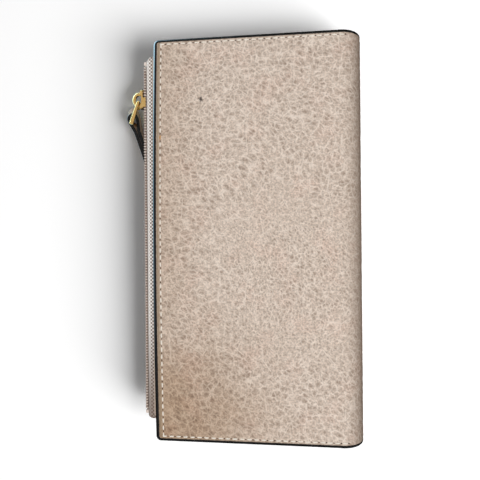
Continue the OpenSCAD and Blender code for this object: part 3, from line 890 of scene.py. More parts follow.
# %% [markdown]
# ## Painted edges
# The edge paint is a dome that runs round the three cut sides of each cover and over the
# ends of the spine. A bevelled curve would give it one width everywhere. Sweeping a section
# along the cover's own outline lets it be wider on the open edge, where the maker laid on
# more paint. It starts a little below the leather, so that the rounded rim shows above it.

# %% Paint round a cover
PAINT_SINK = 0.12
PAINT_ROOT = 0.3
# Half of the paint's profile: share of its width, and millimetres under its top
PAINT_SHOULDER = ((0.0, 0.0), (0.16, 0.01), (0.32, 0.03), (0.48, 0.11), (0.62, 0.26),
                  (0.77, 0.45), (0.9, 0.66), (0.97, 0.84), (1.0, 1.02))
BOW_STEPS = 40
CORNER_STEPS = 8
COVER_END_X = leather_high.x


def cover_outline(grow_end, grow_open):
    """Points round a cover's three free sides, grown outwards at its ends and open edge."""
    half = COVER_HALF + grow_end
    r = CORNER_R + grow_end
    open_x = OPEN_X - grow_open
    turns = [math.radians(90 * i / CORNER_STEPS) for i in range(CORNER_STEPS + 1)]
    corner = [(open_x + r * (1 - math.sin(t)), half - r * (1 - math.cos(t))) for t in turns]
    bow = []
    for i in range(1, BOW_STEPS):
        t = 1 - 2 * i / BOW_STEPS
        bow.append((open_x - EDGE_BOW * (1 - t * t), t * (half - r)))
    upper = [(COVER_END_X, half)] + corner
    return upper + bow + [(x, -y) for x, y in reversed(upper)]


def dome_profile(thickness):
    """Paint from face to face: level, then bevelled: share of its width and depth."""
    squeeze = min((thickness - PAINT_SINK) / 2 / PAINT_SHOULDER[-1][1], 1.0)
    half = [(w, drop * squeeze) for w, drop in PAINT_SHOULDER]
    return ([(w, PAINT_SINK + drop) for w, drop in half]
            + [(w, thickness - drop) for w, drop in reversed(half)])


def cover_paint(name, front):
    """Domed paint swept round one cover."""
    profile = dome_profile(COVER_T)
    lines = [cover_outline(PAINT_END * w, PAINT_OPEN * w) for w, depth in profile]
    inner = cover_outline(-PAINT_ROOT, -PAINT_ROOT)
    depths = [depth for w, depth in profile]
    lines += [inner, inner]
    depths += [depths[-1] - PAINT_ROOT, depths[0] + PAINT_ROOT]
    sections = []
    for i in range(len(inner)):
        sections.append([(line[i][0], line[i][1], WALLET_T - d if front else d)
                         for line, d in zip(lines, depths)])
    return tube(name, sections, EDGE_PAINT, sharp=60)


for side, is_front in (("front", True), ("back", False)):
    paint = cover_paint(side + "_painted_edge", is_front)
    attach(paint, side + "_leaf")
    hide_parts(side + "_edge_paint")
    print(paint.name, "faces:", len(paint.data.polygons))

# %% Paint and lining round the spine
SPINE_LINING_T = 0.5
GLUE_T = 0.02
LINING_GRID = 3.0
LINING_FINE = 1.0
SPINE_IN = SPINE_R - LEATHER_T - SPINE_LINING_T
ROLL_STEPS = 26
ROLL_STOP = QUARTER + SPINE_X - COVER_END_X
# Places along the leather from the middle of the spine to where the covers begin
ROLL_PLACES = [ROLL_STOP * i / ROLL_STEPS for i in range(ROLL_STEPS + 1)]


def spine_end_paint(name, front):
    """Domed paint on both ends of half the spine."""
    profile = dome_profile(SPINE_R - SPINE_IN)
    ends = []
    for sign in (1, -1):
        sections = []
        for s in ROLL_PLACES:
            ring = [on_cover(s, sign * (COVER_HALF + PAINT_END * w), d, front) for w, d in profile]
            root = sign * (COVER_HALF - PAINT_ROOT)
            ring.append(on_cover(s, root, profile[-1][1] - PAINT_ROOT, front))
            ring.append(on_cover(s, root, profile[0][1] + PAINT_ROOT, front))
            sections.append(ring)
        ends.append(tube(name + ("_top" if sign > 0 else "_bottom"), sections, EDGE_PAINT, sharp=60))
    return ends


def spine_half_lining(name, front):
    """Lining inside half the spine, glued under the leather."""
    half = COVER_HALF - PAINT_ROOT
    ys = graded(-half, half, LINING_GRID, LINING_FINE, LINING_GRID)
    points = []
    for depth in (LEATHER_T + GLUE_T, SPINE_R - SPINE_IN):
        for y in ys:
            points += [on_cover(s, y, depth, front) for s in ROLL_PLACES]
    return sheet(name, points, len(ys), len(ROLL_PLACES), LINING)


for side, is_front in (("front", True), ("back", False)):
    for paint in spine_end_paint(side + "_spine_paint", is_front):
        bend_round_spine(paint, is_front)
        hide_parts("spine_edge_paint")
    lining = spine_half_lining(side + "_spine_lining", is_front)
    bend_round_spine(lining, is_front)
    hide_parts("spine_lining")
print("painted edges and spine lining done")

# %% [markdown]
# ## Linings, boards and card slots
# Inside, each cover has a twill lining and a ladder of three leather strips that hold
# cards. The strips are cut from split leather with a crease pressed along each mouth. A
# bevelled box would have the outline but no swell and no crease, so each strip is a grid
# whose height follows a rule. The board between leather and lining keeps its solid, since
# only its cut edge can be seen.

# %% Linings and boards
LINING_INSET = 0.1
LINING_EDGE = 0.12
for side, is_front in (("front", True), ("back", False)):
    low, high = span("back_lining")
    inside = panel(side + "_cover_lining",
                   lambda grow: cover_outline(grow - LINING_INSET, grow - LINING_INSET),
                   low.z + GLUE_T, high.z, LINING_EDGE, LINING, flip=is_front)
    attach(inside, side + "_leaf")
    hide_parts(side + "_lining")
    board = frame["nodes"][side + "_board"]
    board.data.materials.clear()
    board.data.materials.append(BOARD)
    print(inside.name, "faces:", len(inside.data.polygons), "over", board.name)


# %% Card slots
MOUTH_CREASE = 1.6
CREASE_DEPTH = 0.16
CREASE_REACH = 0.28
STRIP_CORNER = 2.0
# The strip's rim is pared down by this much within this reach
STRIP_RIM = 0.2
STRIP_RIM_REACH = 0.5
# The strip swells in waves of twice this height, which fade towards its rim
STRIP_WAVE = 0.04
STRIP_WAVE_FADE = 3.0
WAVE_Y = 9.0
WAVE_X = 6.0
STRIP_GRID = 1.6
STRIP_FINE = 0.3
STRIP_FINE_REACH = 2.4
# Places from the mouth, close together round the crease
MOUTH_PLACES = (0, 0.15, 0.4, 0.8, 1.2, 1.4, 1.6, 1.8, 2.1, 2.8)
STRIP_START = 4.0
STRIP_STOP = 1.0
STRIP_COLUMNS = 22


def creased_strip(name, low, high, material, crease, flip):
    """A leather strip with round corners, a soft swell and a crease along its mouth."""
    ys = graded(low.y, high.y, STRIP_GRID, STRIP_FINE, STRIP_FINE_REACH)
    xs = [low.x + d for d in MOUTH_PLACES]
    xs += list(np.linspace(low.x + STRIP_START, high.x - STRIP_STOP, STRIP_COLUMNS))
    xs += [high.x - STRIP_FINE, high.x]
    width = high.x - low.x
    points = []
    for outer in (True, False):
        for y in ys:
            to_end = min(y - low.y, high.y - y)
            past = max(STRIP_CORNER - to_end, 0.0)
            cut = STRIP_CORNER - math.sqrt(max(STRIP_CORNER ** 2 - past ** 2, 0.0))
            for x in xs:
                place = x + cut * (1 - (x - low.x) / width) ** 3
                near = min(x - low.x, to_end)
                rim = STRIP_RIM * max(1 - near / STRIP_RIM_REACH, 0.0) ** 2
                line = CREASE_DEPTH * hump(x - low.x - MOUTH_CREASE, CREASE_REACH) if crease else 0.0
                wave = 1 + math.sin(y / WAVE_Y + x / WAVE_X)
                wave = STRIP_WAVE * wave * min(near / STRIP_WAVE_FADE, 1.0)
                z = high.z - rim - line - wave if outer else low.z + rim
                points.append((place, y, WALLET_T - z if flip else z))
    return sheet(name, points, len(ys), len(xs), material)


SLOT_COUNT = sum(name.startswith("back_card_slot_") for name in frame["nodes"])
for side, is_front in (("front", True), ("back", False)):
    low, high = span("back_card_base")
    backing = creased_strip(side + "_slot_backing", low, high, LINING, False, is_front)
    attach(backing, side + "_leaf")
    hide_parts(side + "_card_base")
    for index in range(1, SLOT_COUNT + 1):
        low, high = span("back_card_slot_" + str(index))
        strip = creased_strip(side + "_slot_strip_" + str(index), low, high, SLOT_LEATHER,
                              True, is_front)
        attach(strip, side + "_leaf")
        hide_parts(side + "_card_slot_" + str(index))
print("card slots on each cover:", SLOT_COUNT)

# %% [markdown]
# ## The zipped pocket
# The pocket is two leather walls with a twill lining, closed by narrow strips at its ends
# and glued to the spine by a root strip. The lower half is the upper half turned over. A
# negative scale could do that, but it would turn the faces inside out, so each piece is
# made by the same function with its heights flipped.

# %% Pocket walls
POCKET_LINING_INSET = 0.3
POCKET_LINING_CORNER = 0.8
for side, flipped in (("upper", False), ("lower", True)):
    low, high = span("pocket_upper_leather")
    wall = creased_strip("pocket_" + side + "_wall", low, high, POCKET_LEATHER, True, flipped)
    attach(wall, "zip_leaf")
    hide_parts("pocket_" + side + "_leather")
    low, high = span("pocket_upper_lining")
    inside = panel("pocket_" + side + "_twill",
                   round_box(low.x + POCKET_LINING_INSET, high.x, low.y, high.y,
                             POCKET_LINING_CORNER),
                   low.z, high.z, LINING_EDGE, POCKET_LINING, flip=flipped)
    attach(inside, "zip_leaf")
    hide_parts("pocket_" + side + "_lining")
    print(wall.name, "faces:", len(wall.data.polygons))

# %% End strips and root strip
NARROW_EDGE = 0.15
NARROW_CORNER = 0.2
for node, finish, slot in (("pocket_top_gusset", POCKET_LINING, "lining"),
                           ("pocket_bottom_gusset", POCKET_LINING, "lining"),
                           ("pocket_root_strip", POCKET_LEATHER, "slot_leather")):
    low, high = span(node)
    strip = panel(node + "_piece", round_box(low.x, high.x, low.y, high.y, NARROW_CORNER,
                                             NARROW_CORNER),
                  low.z, high.z, NARROW_EDGE, finish)
    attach(strip, "zip_leaf")
    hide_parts(node)
    print(strip.name, "width:", round(high.x - low.x, 1), "mm")

# %% [markdown]
# ## The zip
# Each tape is a woven strip that lies in the pocket wall, turns round at the mouth and
# ends upright, with the teeth on its edge. A tooth is a loop of moulded polyester that
# wraps the tape's cord: round at the back, drawn in at the neck and full at the head,
# where it locks between two teeth of the other row. An array modifier could repeat it, but
# a geometry tree takes the pitch and the count as inputs and serves both rows.

# %% Zip tapes
TAPE_RIBS = 240
TAPE_BEND = 1.5
TAPE_T = 0.4
BEND_STEPS = 8
TAPE_END_R = 2.6
TAPE_FOOT_R = 1.5


def tape_profile(low, high):
    """Cross-section of the upper tape, clockwise, worked out from the solid's corners."""
    turns = [math.radians(90 * i / BEND_STEPS) for i in range(BEND_STEPS + 1)]
    centre_x, centre_z = low.x + TAPE_BEND, high.z - TAPE_BEND
    outer, inner = [[(centre_x - r * math.cos(t), centre_z + r * math.sin(t)) for t in turns]
                    for r in (TAPE_BEND, TAPE_BEND - TAPE_T)]
    outside = [(low.x, low.z)] + outer + [(high.x, high.z)]
    inside = [(high.x, high.z - TAPE_T)] + list(reversed(inner)) + [(low.x + TAPE_T, low.z)]
    return outside + inside


def zip_tape(name, flipped):
    """Woven tape rolled over at the mouth, its front corners rounded off at both ends."""
    low, high = span("zip_upper_tape")
    sections = []
    for i in range(TAPE_RIBS + 1):
        share = i / TAPE_RIBS
        y = low.y + (high.y - low.y) * (share - math.sin(math.tau * share) / math.tau)
        r = TAPE_END_R if y > 0 else TAPE_FOOT_R
        to_end = min(y - low.y, high.y - y, r)
        back = r - math.sqrt(r ** 2 - (r - to_end) ** 2)
        section = []
        for x, z in tape_profile(low, high):
            near = max(1 - (x - low.x) / (3 * TAPE_END_R), 0.0)
            section.append((x + back * near, y, WALLET_T - z if flipped else z))
        sections.append(section)
    return tube(name, sections, ZIP_TAPE, sharp=60)


for side, flipped in (("upper", False), ("lower", True)):
    tape = zip_tape("zip_" + side + "_woven_tape", flipped)
    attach(tape, "zip_leaf")
    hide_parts("zip_" + side + "_tape")
    print(tape.name, "faces:", len(tape.data.polygons))

# %% One tooth and its cord
TOOTH_PITCH = 1.3
teeth_low, teeth_high = span("zip_upper_teeth")
lower_teeth_low, lower_teeth_high = span("zip_lower_teeth")
TOOTH_SIDES = 8
# Height above the zip's middle, half width along the zip and half depth, in millimetres
TOOTH_SHAPE = ((1.97, 0.12, 0.36), (1.9, 0.30, 0.62), (1.6, 0.40, 0.72), (1.2, 0.33, 0.62),
               (0.85, 0.29, 0.5), (0.55, 0.41, 0.56), (0.36, 0.42, 0.56), (0.26, 0.3, 0.42))


def tooth_element(name, upwards):
    """One tooth about the middle of the zip, standing up or down."""
    middle_x = (teeth_low.x + teeth_high.x) / 2
    sections = []
    for height, wide, deep in TOOTH_SHAPE:
        ring = []
        for i in range(TOOTH_SIDES):
            a = math.tau * (i + 0.5) / TOOTH_SIDES
            z = MID_Z + (height if upwards else -height)
            ring.append((middle_x + deep * math.cos(a), wide * math.sin(a), z))
        sections.append(ring)
    return tube(name, sections, ZIP_TEETH)


def row_tree(name, element, finish):
    """Tree that repeats an element along Y: first place, pitch and count are its inputs."""
    tree, source, result = geometry_tree(name, {"First": 0.0, "Pitch": 1.0, "Count": 1.0})
    shape = add(tree, "GeometryNodeObjectInfo", {"Object": element}).outputs["Geometry"]
    start = add(tree, "ShaderNodeCombineXYZ", {"Y": source.outputs["First"]}).outputs[0]
    step = add(tree, "ShaderNodeCombineXYZ", {"Y": source.outputs["Pitch"]}).outputs[0]
    line = add(tree, "GeometryNodeMeshLine",
               {"Count": source.outputs["Count"], "Start Location": start, "Offset": step})
    copies = add(tree, "GeometryNodeInstanceOnPoints", {"Points": line.outputs[0],
                                                       "Instance": shape})
    tree.links.new(realized(tree, copies.outputs[0], finish), result.inputs[0])
    return tree


def empty_object(name):
    """An object with an empty mesh, to run a geometry tree on."""
    made = bpy.data.objects.new(name, bpy.data.meshes.new(name))
    bpy.context.scene.collection.objects.link(made)
    return made


def smooth(made):
    """Shades a baked mesh smoothly."""
    made.data.polygons.foreach_set("use_smooth", [True] * len(made.data.polygons))
    return made


print("tooth:", 2 * max(wide for height, wide, deep in TOOTH_SHAPE), "mm wide")

# %% Two rows of teeth
# The first tooth stands this share of a pitch inside the solid's end
HEAD_SHARE = 0.34
CORD_INSET = 0.25
CORD_CORNER = 0.3
CORD_LOW = 1.3
CORD_HIGH = 1.82
CORD_EDGE = 0.24
cord_finish = speckled("cotton_zip_cord", "7d6a5e", "64534a", cell=0.5, depth=0.05, roughness=0.8)
for side, upwards, low, high in (("upper", True, teeth_low, teeth_high),
                                 ("lower", False, lower_teeth_low, lower_teeth_high)):
    tooth = tooth_element("one_tooth", upwards)
    head = HEAD_SHARE * TOOTH_PITCH
    count = round((high.y - low.y - 2 * head) / TOOTH_PITCH) + 2
    row = empty_object("zip_" + side + "_tooth_row")
    run_tree(row, row_tree("tooth_row", tooth, ZIP_TEETH),
             {"First": (low.y + head) * MM, "Pitch": TOOTH_PITCH * MM, "Count": float(count)})
    smooth(row)
    bpy.data.objects.remove(tooth)
    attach(row, "zip_leaf")
    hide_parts("zip_" + side + "_teeth")
    cord = panel("zip_" + side + "_cord",
                 round_box(low.x + CORD_INSET, high.x, low.y, high.y, CORD_CORNER, CORD_CORNER),
                 MID_Z + CORD_LOW, MID_Z + CORD_HIGH, CORD_EDGE, cord_finish, flip=not upwards)
    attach(cord, "zip_leaf")
    print(row.name, "teeth:", count, "faces:", len(row.data.polygons))

# %% Stops
STOP_SPLIT = 0.26
STOP_OPEN_R = 0.4
STOP_BACK_R = 0.2
STOP_EDGE = 0.22
for node in ("zip_top_stops", "zip_bottom_stop"):
    low, high = span(node)
    if node == "zip_top_stops":
        parts = [(MID_Z + STOP_SPLIT, high.z, "_upper"), (low.z, MID_Z - STOP_SPLIT, "_lower")]
    else:
        parts = [(low.z, high.z, "")]
    for low_z, high_z, label in parts:
        stop = panel(node + label + "_clamp",
                     round_box(low.x, high.x, low.y, high.y, STOP_OPEN_R, STOP_BACK_R),
                     low_z, high_z, STOP_EDGE, ZIP_TEETH)
        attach(stop, "zip_leaf")
        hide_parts(node)
        print(stop.name, "height:", round(high_z - low_z, 2), "mm")

# %% [markdown]
# ## Slider and bridge
# The slider is die-cast: a shield-shaped plate, two flanges round the teeth and a plate
# behind the tape. It could be modelled anew, but its solid has the right form and only its
# edges are too sharp. So a welded copy of it is taken and bevelled, which catches the light
# as a cast and tumbled edge does. The bridge is a D of rounded wire, swept along its line.

# %% Slider body
CAST_EDGE = 0.16
CAST_STEPS = 3
SOLID_WELD = 0.002
# Edges flatter than the first angle are dissolved, and those past the second rounded
FLAT_TURN = 1
HARD_TURN = 30
CAST_SHARP = 35


def bevelled_copy(name, node, finish):
    """A welded copy of a solid with every hard edge rounded."""
    made = bpy.data.objects.new(name, frame["nodes"][node].data.copy())
    bpy.context.scene.collection.objects.link(made)
    made.data.materials.clear()
    made.data.materials.append(finish)
    cage = bmesh.new()
    cage.from_mesh(made.data)
    bmesh.ops.remove_doubles(cage, verts=cage.verts, dist=SOLID_WELD * MM)
    bmesh.ops.dissolve_limit(cage, angle_limit=math.radians(FLAT_TURN), verts=cage.verts,
                             edges=cage.edges, delimit={"NORMAL"})
    cage.to_mesh(made.data)
    cage.free()
    step = made.modifiers.new("rounding", "BEVEL")
    step.width = CAST_EDGE * MM
    step.segments = CAST_STEPS
    step.limit_method = "ANGLE"
    step.angle_limit = math.radians(HARD_TURN)
    step.harden_normals = False
    bake_modifiers(made)
    smooth(made)
    made.data.set_sharp_from_angle(angle=math.radians(CAST_SHARP))
    return made


slider = bevelled_copy("slider_casting", "slider_body", GOLD)
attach(slider, "zip_slider")
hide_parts("slider_body")
print(slider.name, "faces:", len(slider.data.polygons))

# %% Bridge
bridge_low, bridge_high = span("slider_bridge")
SLIDER_Y = (bridge_low.y + bridge_high.y) / 2
BRIDGE_R = (bridge_high.y - bridge_low.y) / 2
BRIDGE_T = 1.5
BRIDGE_X = bridge_low.x + BRIDGE_R
BRIDGE_STEPS = 24
WIRE_SIDES = 16
# A power under 1 makes the wire's section squarer than an ellipse
WIRE_SQUARE = 0.7


def wire_section(place, outward, thick, tall):
    """Rounded section of a wire at a place, thick along outward and tall along Z."""
    ring = []
    for i in range(WIRE_SIDES):
        a = math.tau * (i + 0.5) / WIRE_SIDES
        c, s = math.cos(a), math.sin(a)
        across = math.copysign(abs(c) ** WIRE_SQUARE, c) * thick / 2
        up = math.copysign(abs(s) ** WIRE_SQUARE, s) * tall / 2
        ring.append((place[0] + outward[0] * across, place[1] + outward[1] * across, MID_Z + up))
    return ring


def bridge_wire():
    """The D-shaped bridge from leg to leg."""
    reach = BRIDGE_R - BRIDGE_T / 2
    tall = bridge_high.z - bridge_low.z
    leg = bridge_high.x - BRIDGE_X
    sections = [wire_section((BRIDGE_X + x, SLIDER_Y + reach), (0, 1), BRIDGE_T, tall)
                for x in (leg, leg / 2)]
    for i in range(BRIDGE_STEPS + 1):
        a = math.radians(90 + 180 * i / BRIDGE_STEPS)
        out = (math.cos(a), math.sin(a))
        place = (BRIDGE_X + reach * out[0], SLIDER_Y + reach * out[1])
        sections.append(wire_section(place, out, BRIDGE_T, tall))
    sections += [wire_section((BRIDGE_X + x, SLIDER_Y - reach), (0, -1), BRIDGE_T, tall)
                 for x in (leg / 2, leg)]
    return tube("bridge_wire", sections, GOLD, sharp=50)


bridge = bridge_wire()
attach(bridge, "zip_slider")
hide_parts("slider_bridge")
print(bridge.name, "faces:", len(bridge.data.polygons))

# %% [markdown]
# ## The pull
# A metal link hangs on the bridge: a round post through it, a foot under it, and an arm on
# top that widens to a pin. A strap of leather is folded round that pin, glued face to face
# and painted black along its two cut edges, which is what shows from above. Cloth
# simulation could fold the strap, but a line of its middle is exact and can be read. The
# strap leans a little at the loop, so that some of its face shows beside the black edge, as
# it does in the photo.

# %% Link and pin
joints = {joint["name"]: joint for joint in frame["joints"]}
pivot = Vector(joints["link_swing"]["pos_m"]) / MM
pin_place = Vector(joints["tab_swing"]["pos_m"]) / MM
link_low, link_high = span("pull_link")
link_vector = Vector((pin_place.x - pivot.x, pin_place.y - pivot.y, 0))
LINK_LEN = link_vector.length
LINK_ANGLE = math.atan2(link_vector.y, link_vector.x)
LINK_BAR = 1.1
LINK_END = 2.0
LINK_FOOT = 2.6
LINK_EDGE = 0.3
LINK_CORNER = 0.35
# The eye's rim stands this far past the post
EYE_RIM = 0.08
ARM_T = 1.0
ARC_DEGREES = 15
# The post ends this far inside the link's outer faces, and the pin stands as far out of one
POST_SINK = 0.1
POST_EDGE = 0.1
PIN_R = 0.6
PIN_EDGE = 0.2
PIN_HEAD_T = 0.8


def turned_outline(points, place, angle):
    """Points in a piece's own plane, turned and moved to where it lies."""
    c, s = math.cos(angle), math.sin(angle)
    return [(place.x + u * c - v * s, place.y + u * s + v * c) for u, v in points]


def bar_outline(length, half):
    """Outline maker of a bar: a round eye at the pivot, widening to a squared end."""
    def outline(grow):
        eye = LINK_BAR / 2 + EYE_RIM + grow
        end = length + half + grow - LINK_CORNER
        side = half + grow - LINK_CORNER
        points = [(eye * math.cos(math.radians(a)), eye * math.sin(math.radians(a)))
                  for a in range(90, 271, ARC_DEGREES)]
        for sign, start in ((-1, 270), (1, 0)):
            for a in range(start, start + 91, ARC_DEGREES):
                points.append((end + LINK_CORNER * math.cos(math.radians(a)),
                               sign * side + LINK_CORNER * math.sin(math.radians(a))))
        return turned_outline(points, pivot, LINK_ANGLE)
    return outline


def round_rod(name, place, radius, low_z, high_z, edge, finish, sides=24):
    """A rod along Z with rounded ends."""
    def outline(grow):
        return [(place.x + (radius + grow) * math.cos(math.tau * i / sides),
                 place.y + (radius + grow) * math.sin(math.tau * i / sides)) for i in range(sides)]
    return panel(name, outline, low_z, high_z, edge, finish)


metal = [
    panel("link_arm", bar_outline(LINK_LEN, LINK_END / 2), link_high.z - ARM_T, link_high.z,
          LINK_EDGE, GOLD),
    panel("link_foot", bar_outline(LINK_FOOT, LINK_BAR / 2), link_low.z, link_low.z + ARM_T,
          LINK_EDGE, GOLD),
    round_rod("link_post", pivot, LINK_BAR / 2, link_low.z + POST_SINK, link_high.z - POST_SINK,
              POST_EDGE, GOLD)]
for bar in metal:
    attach(bar, "link")
    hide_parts("pull_link")
pin_low, pin_high = span("pull_pin")
rivet = [
    round_rod("rivet_shank", pin_place, PIN_R, pin_low.z + POST_SINK, link_high.z + POST_SINK,
              PIN_EDGE, GOLD),
    round_rod("rivet_head", pin_place, (pin_high.x - pin_low.x) / 2, pin_low.z,
              pin_low.z + PIN_HEAD_T, LINK_EDGE, GOLD, sides=32)]
for piece in rivet:
    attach(piece, "link")
    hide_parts("pull_pin")
print("link:", round(LINK_LEN, 2), "mm from post to pin")

# %% Folded strap
TAB_ANGLE = math.radians(289)
STRAP_T = 1.6
LOOP_R = 2.0
LOOP_BACK = 3.0
THROAT = 5.04
TAB_LEN = 25.0
LAYER_GAP = 0.03
LOOP_LEAN = 0.7
LEAN_SHARE = 0.6
STRAIGHT_STEPS = 20
LOOP_STEPS = 12
# The paint's root: share of the strap's half thickness, and depth as a share of the dome
BAND_ROOT_SHARE = 0.94
BAND_SINK_SHARE = 1.2
tab_low, tab_high = span("pull_tab")
tab_edge_low, tab_edge_high = span("pull_tab_edge_paint")


def strap_line():
    """Middle line of one layer after the other, in the tab's own plane, with its normals."""
    outer = STRAP_T / 2 + LAYER_GAP
    line = [(TAB_LEN - (TAB_LEN - THROAT) * i / STRAIGHT_STEPS, outer)
            for i in range(STRAIGHT_STEPS)]
    for i in range(LOOP_STEPS):
        t = i / LOOP_STEPS
        rise = t * t * (3 - 2 * t)
        line.append((THROAT - (THROAT + LOOP_BACK) * t, outer + (LOOP_R - outer) * rise))
    for i in range(LOOP_STEPS + 1):
        a = math.radians(90 + 90 * i / LOOP_STEPS)
        line.append((-LOOP_BACK + LOOP_R * math.cos(a), LOOP_R * math.sin(a)))
    line += [(u, -v) for u, v in reversed(line[:-1])]
    normals = []
    for i in range(len(line)):
        before, after = line[max(i - 1, 0)], line[min(i + 1, len(line) - 1)]
        along = Vector((after[0] - before[0], after[1] - before[1])).normalized()
        normals.append((-along.y, along.x))
    return line, normals


def strap_piece(name, profile, finish):
    """A band that follows the folded strap; the profile gives (share of half thickness, z)."""
    line, normals = strap_line()
    sections = []
    for (u, v), (nu, nv) in zip(line, normals):
        lean = LOOP_LEAN * max(1 - (u + LOOP_BACK) / (LEAN_SHARE * TAB_LEN), 0.0)
        ring = [(u - nu * share * STRAP_T / 2 + lean * (z - tab_high.z),
                 v - nv * share * STRAP_T / 2) for share, z in profile]
        places = turned_outline(ring, pin_place, TAB_ANGLE)
        sections.append([(x, y, z) for (x, y), (share, z) in zip(places, profile)])
    return tube(name, sections, finish, sharp=50)


body_profile = [(-1, tab_low.z), (-1, tab_high.z), (1, tab_high.z), (1, tab_low.z)]
strap = strap_piece("pull_strap", body_profile, TAB_LEATHER)
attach(strap, "tab")
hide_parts("pull_tab")
for label, edge_z, tip_z in (("lower", tab_low.z, tab_edge_low.z),
                             ("upper", tab_high.z, tab_edge_high.z)):
    dome = [(math.cos(math.radians(a)), edge_z + (tip_z - edge_z) * math.sin(math.radians(a)))
            for a in range(0, 181, ARC_DEGREES)]
    root = edge_z + (edge_z - tip_z) * BAND_SINK_SHARE
    dome += [(-BAND_ROOT_SHARE, root), (BAND_ROOT_SHARE, root)]
    band = strap_piece("pull_painted_edge_" + label, dome, EDGE_PAINT)
    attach(band, "tab")
    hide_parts("pull_tab_edge_paint")
print("strap:", TAB_LEN, "mm past its pin, leather", STRAP_T, "mm thick")

# %% [markdown]
# ## Stitches
# A machine stitch is a short length of thread that rises from one needle hole and dives
# into the next. A dashed texture would look painted on, and stitches set by hand would
# never match the seam. So one such stitch and one needle hole are made as small meshes,
# and a geometry tree repeats them along every seam, turned to the seam and stirred a little
# by a seeded random value. A few stitches of the covers are of a tan thread.

# %% One stitch and one needle hole
STITCH_PITCH = 3.2
STITCH_LEN = 2.1
THREAD_W = 0.64
STITCH_HIGH = 0.24
STITCH_SIDES = 7
STITCH_STEPS = 8
HOLE_SIDES = 10
HOLE_R = 0.42
HOLE_LONG = 0.8
HOLE_WIDE = 0.62
HOLE_HEIGHTS = (-0.25, 0.05)
STITCH_STIR = 0.05
# Shares of a stitch: how deep its ends dive, how thin they are and how flat the thread lies
DIVE_SHARE = 0.6
TIP_SHARE = 0.45
FLAT_SHARE = 0.75


def stitch_element(length, width, high):
    """One stitch along X: a thread that rises, runs level and dives again."""
    sections = []
    for i in range(STITCH_STEPS + 1):
        t = i / STITCH_STEPS
        ends = max(1 - (2 * t - 1) ** 4, 0.0)
        x = (t - 0.5) * length
        z = high * (ends - DIVE_SHARE)
        r = width / 2 * (TIP_SHARE + (1 - TIP_SHARE) * ends)
        sections.append([(x, r * math.cos(math.tau * j / STITCH_SIDES),
                          z + FLAT_SHARE * r * math.sin(math.tau * j / STITCH_SIDES))
                         for j in range(STITCH_SIDES)])
    return tube("one_stitch", sections, THREAD)


def hole_element(pitch, size):
    """A dark flat oval half a pitch along X, painted shade where the needle went in."""
    ring = [(pitch / 2 + HOLE_LONG * size * math.cos(math.tau * i / HOLE_SIDES),
             HOLE_WIDE * size * math.sin(math.tau * i / HOLE_SIDES)) for i in range(HOLE_SIDES)]
    return tube("one_hole", [[(x, y, z) for x, y in ring] for z in HOLE_HEIGHTS], NEEDLE_HOLE)


def seam_tree(name, element, finish, other_finish):
    """Tree that repeats an element along a path of edges at the given pitch."""
    tree, source, result = geometry_tree(name, {"Pitch": 1.0, "Stir": 0.0, "Odd Share": 0.0,
                                                "Seed": 0.0})
    curve = add(tree, "GeometryNodeMeshToCurve", {"Mesh": source.outputs["Geometry"]})
    even = add(tree, "GeometryNodeResampleCurve",
               {"Curve": curve.outputs[0], "Length": source.outputs["Pitch"]}, mode="LENGTH")
    along = add(tree, "GeometryNodeInputTangent").outputs[0]
    facing = add(tree, "FunctionNodeAlignRotationToVector", {"Vector": along}, axis="X")
    low = add(tree, "ShaderNodeMath", (source.outputs["Stir"], -1.0),
              operation="MULTIPLY").outputs[0]
    stir = add(tree, "FunctionNodeRandomValue",
               {2: low, 3: source.outputs["Stir"], "Seed": source.outputs["Seed"]},
               data_type="FLOAT").outputs[1]
    wobble = add(tree, "ShaderNodeCombineXYZ", {"Z": stir}).outputs[0]
    turned = add(tree, "FunctionNodeRotateRotation",
                 {"Rotation": facing.outputs[0], "Rotate By": wobble}, rotation_space="LOCAL")
    shape = add(tree, "GeometryNodeObjectInfo", {"Object": element}).outputs["Geometry"]
    copies = add(tree, "GeometryNodeInstanceOnPoints",
                 {"Points": even.outputs[0], "Instance": shape, "Rotation": turned.outputs[0]})
    chance = add(tree, "FunctionNodeRandomValue", {"Seed": source.outputs["Seed"]},
                 data_type="FLOAT").outputs[1]
    odd = add(tree, "ShaderNodeMath", (chance, source.outputs["Odd Share"]),
              operation="LESS_THAN").outputs[0]
    marked = add(tree, "GeometryNodeStoreNamedAttribute",
                 {"Geometry": copies.outputs[0], "Name": "odd", "Value": odd},
                 data_type="FLOAT", domain="INSTANCE")
    kept = add(tree, "GeometryNodeInputNamedAttribute", {"Name": "odd"}, data_type="FLOAT")
    chosen = add(tree, "FunctionNodeCompare", (kept.outputs[0], 0.5),
                 data_type="FLOAT", operation="GREATER_THAN").outputs[0]
    second = add(tree, "GeometryNodeSetMaterial",
                 {"Geometry": realized(tree, marked.outputs[0], finish), "Selection": chosen,
                  "Material": other_finish})
    tree.links.new(second.outputs[0], result.inputs[0])
    return tree


def path_object(name, paths):
    """Seam paths, each a list of points in millimetres, as one object of bare edges."""
    mesh = bpy.data.meshes.new(name)
    points, edges = [], []
    for path in paths:
        first = len(points)
        points += [tuple(c * MM for c in p) for p in path]
        edges += [(first + i, first + i + 1) for i in range(len(path) - 1)]
    mesh.from_pydata(points, edges, [])
    made = bpy.data.objects.new(name, mesh)
    bpy.context.scene.collection.objects.link(made)
    return made


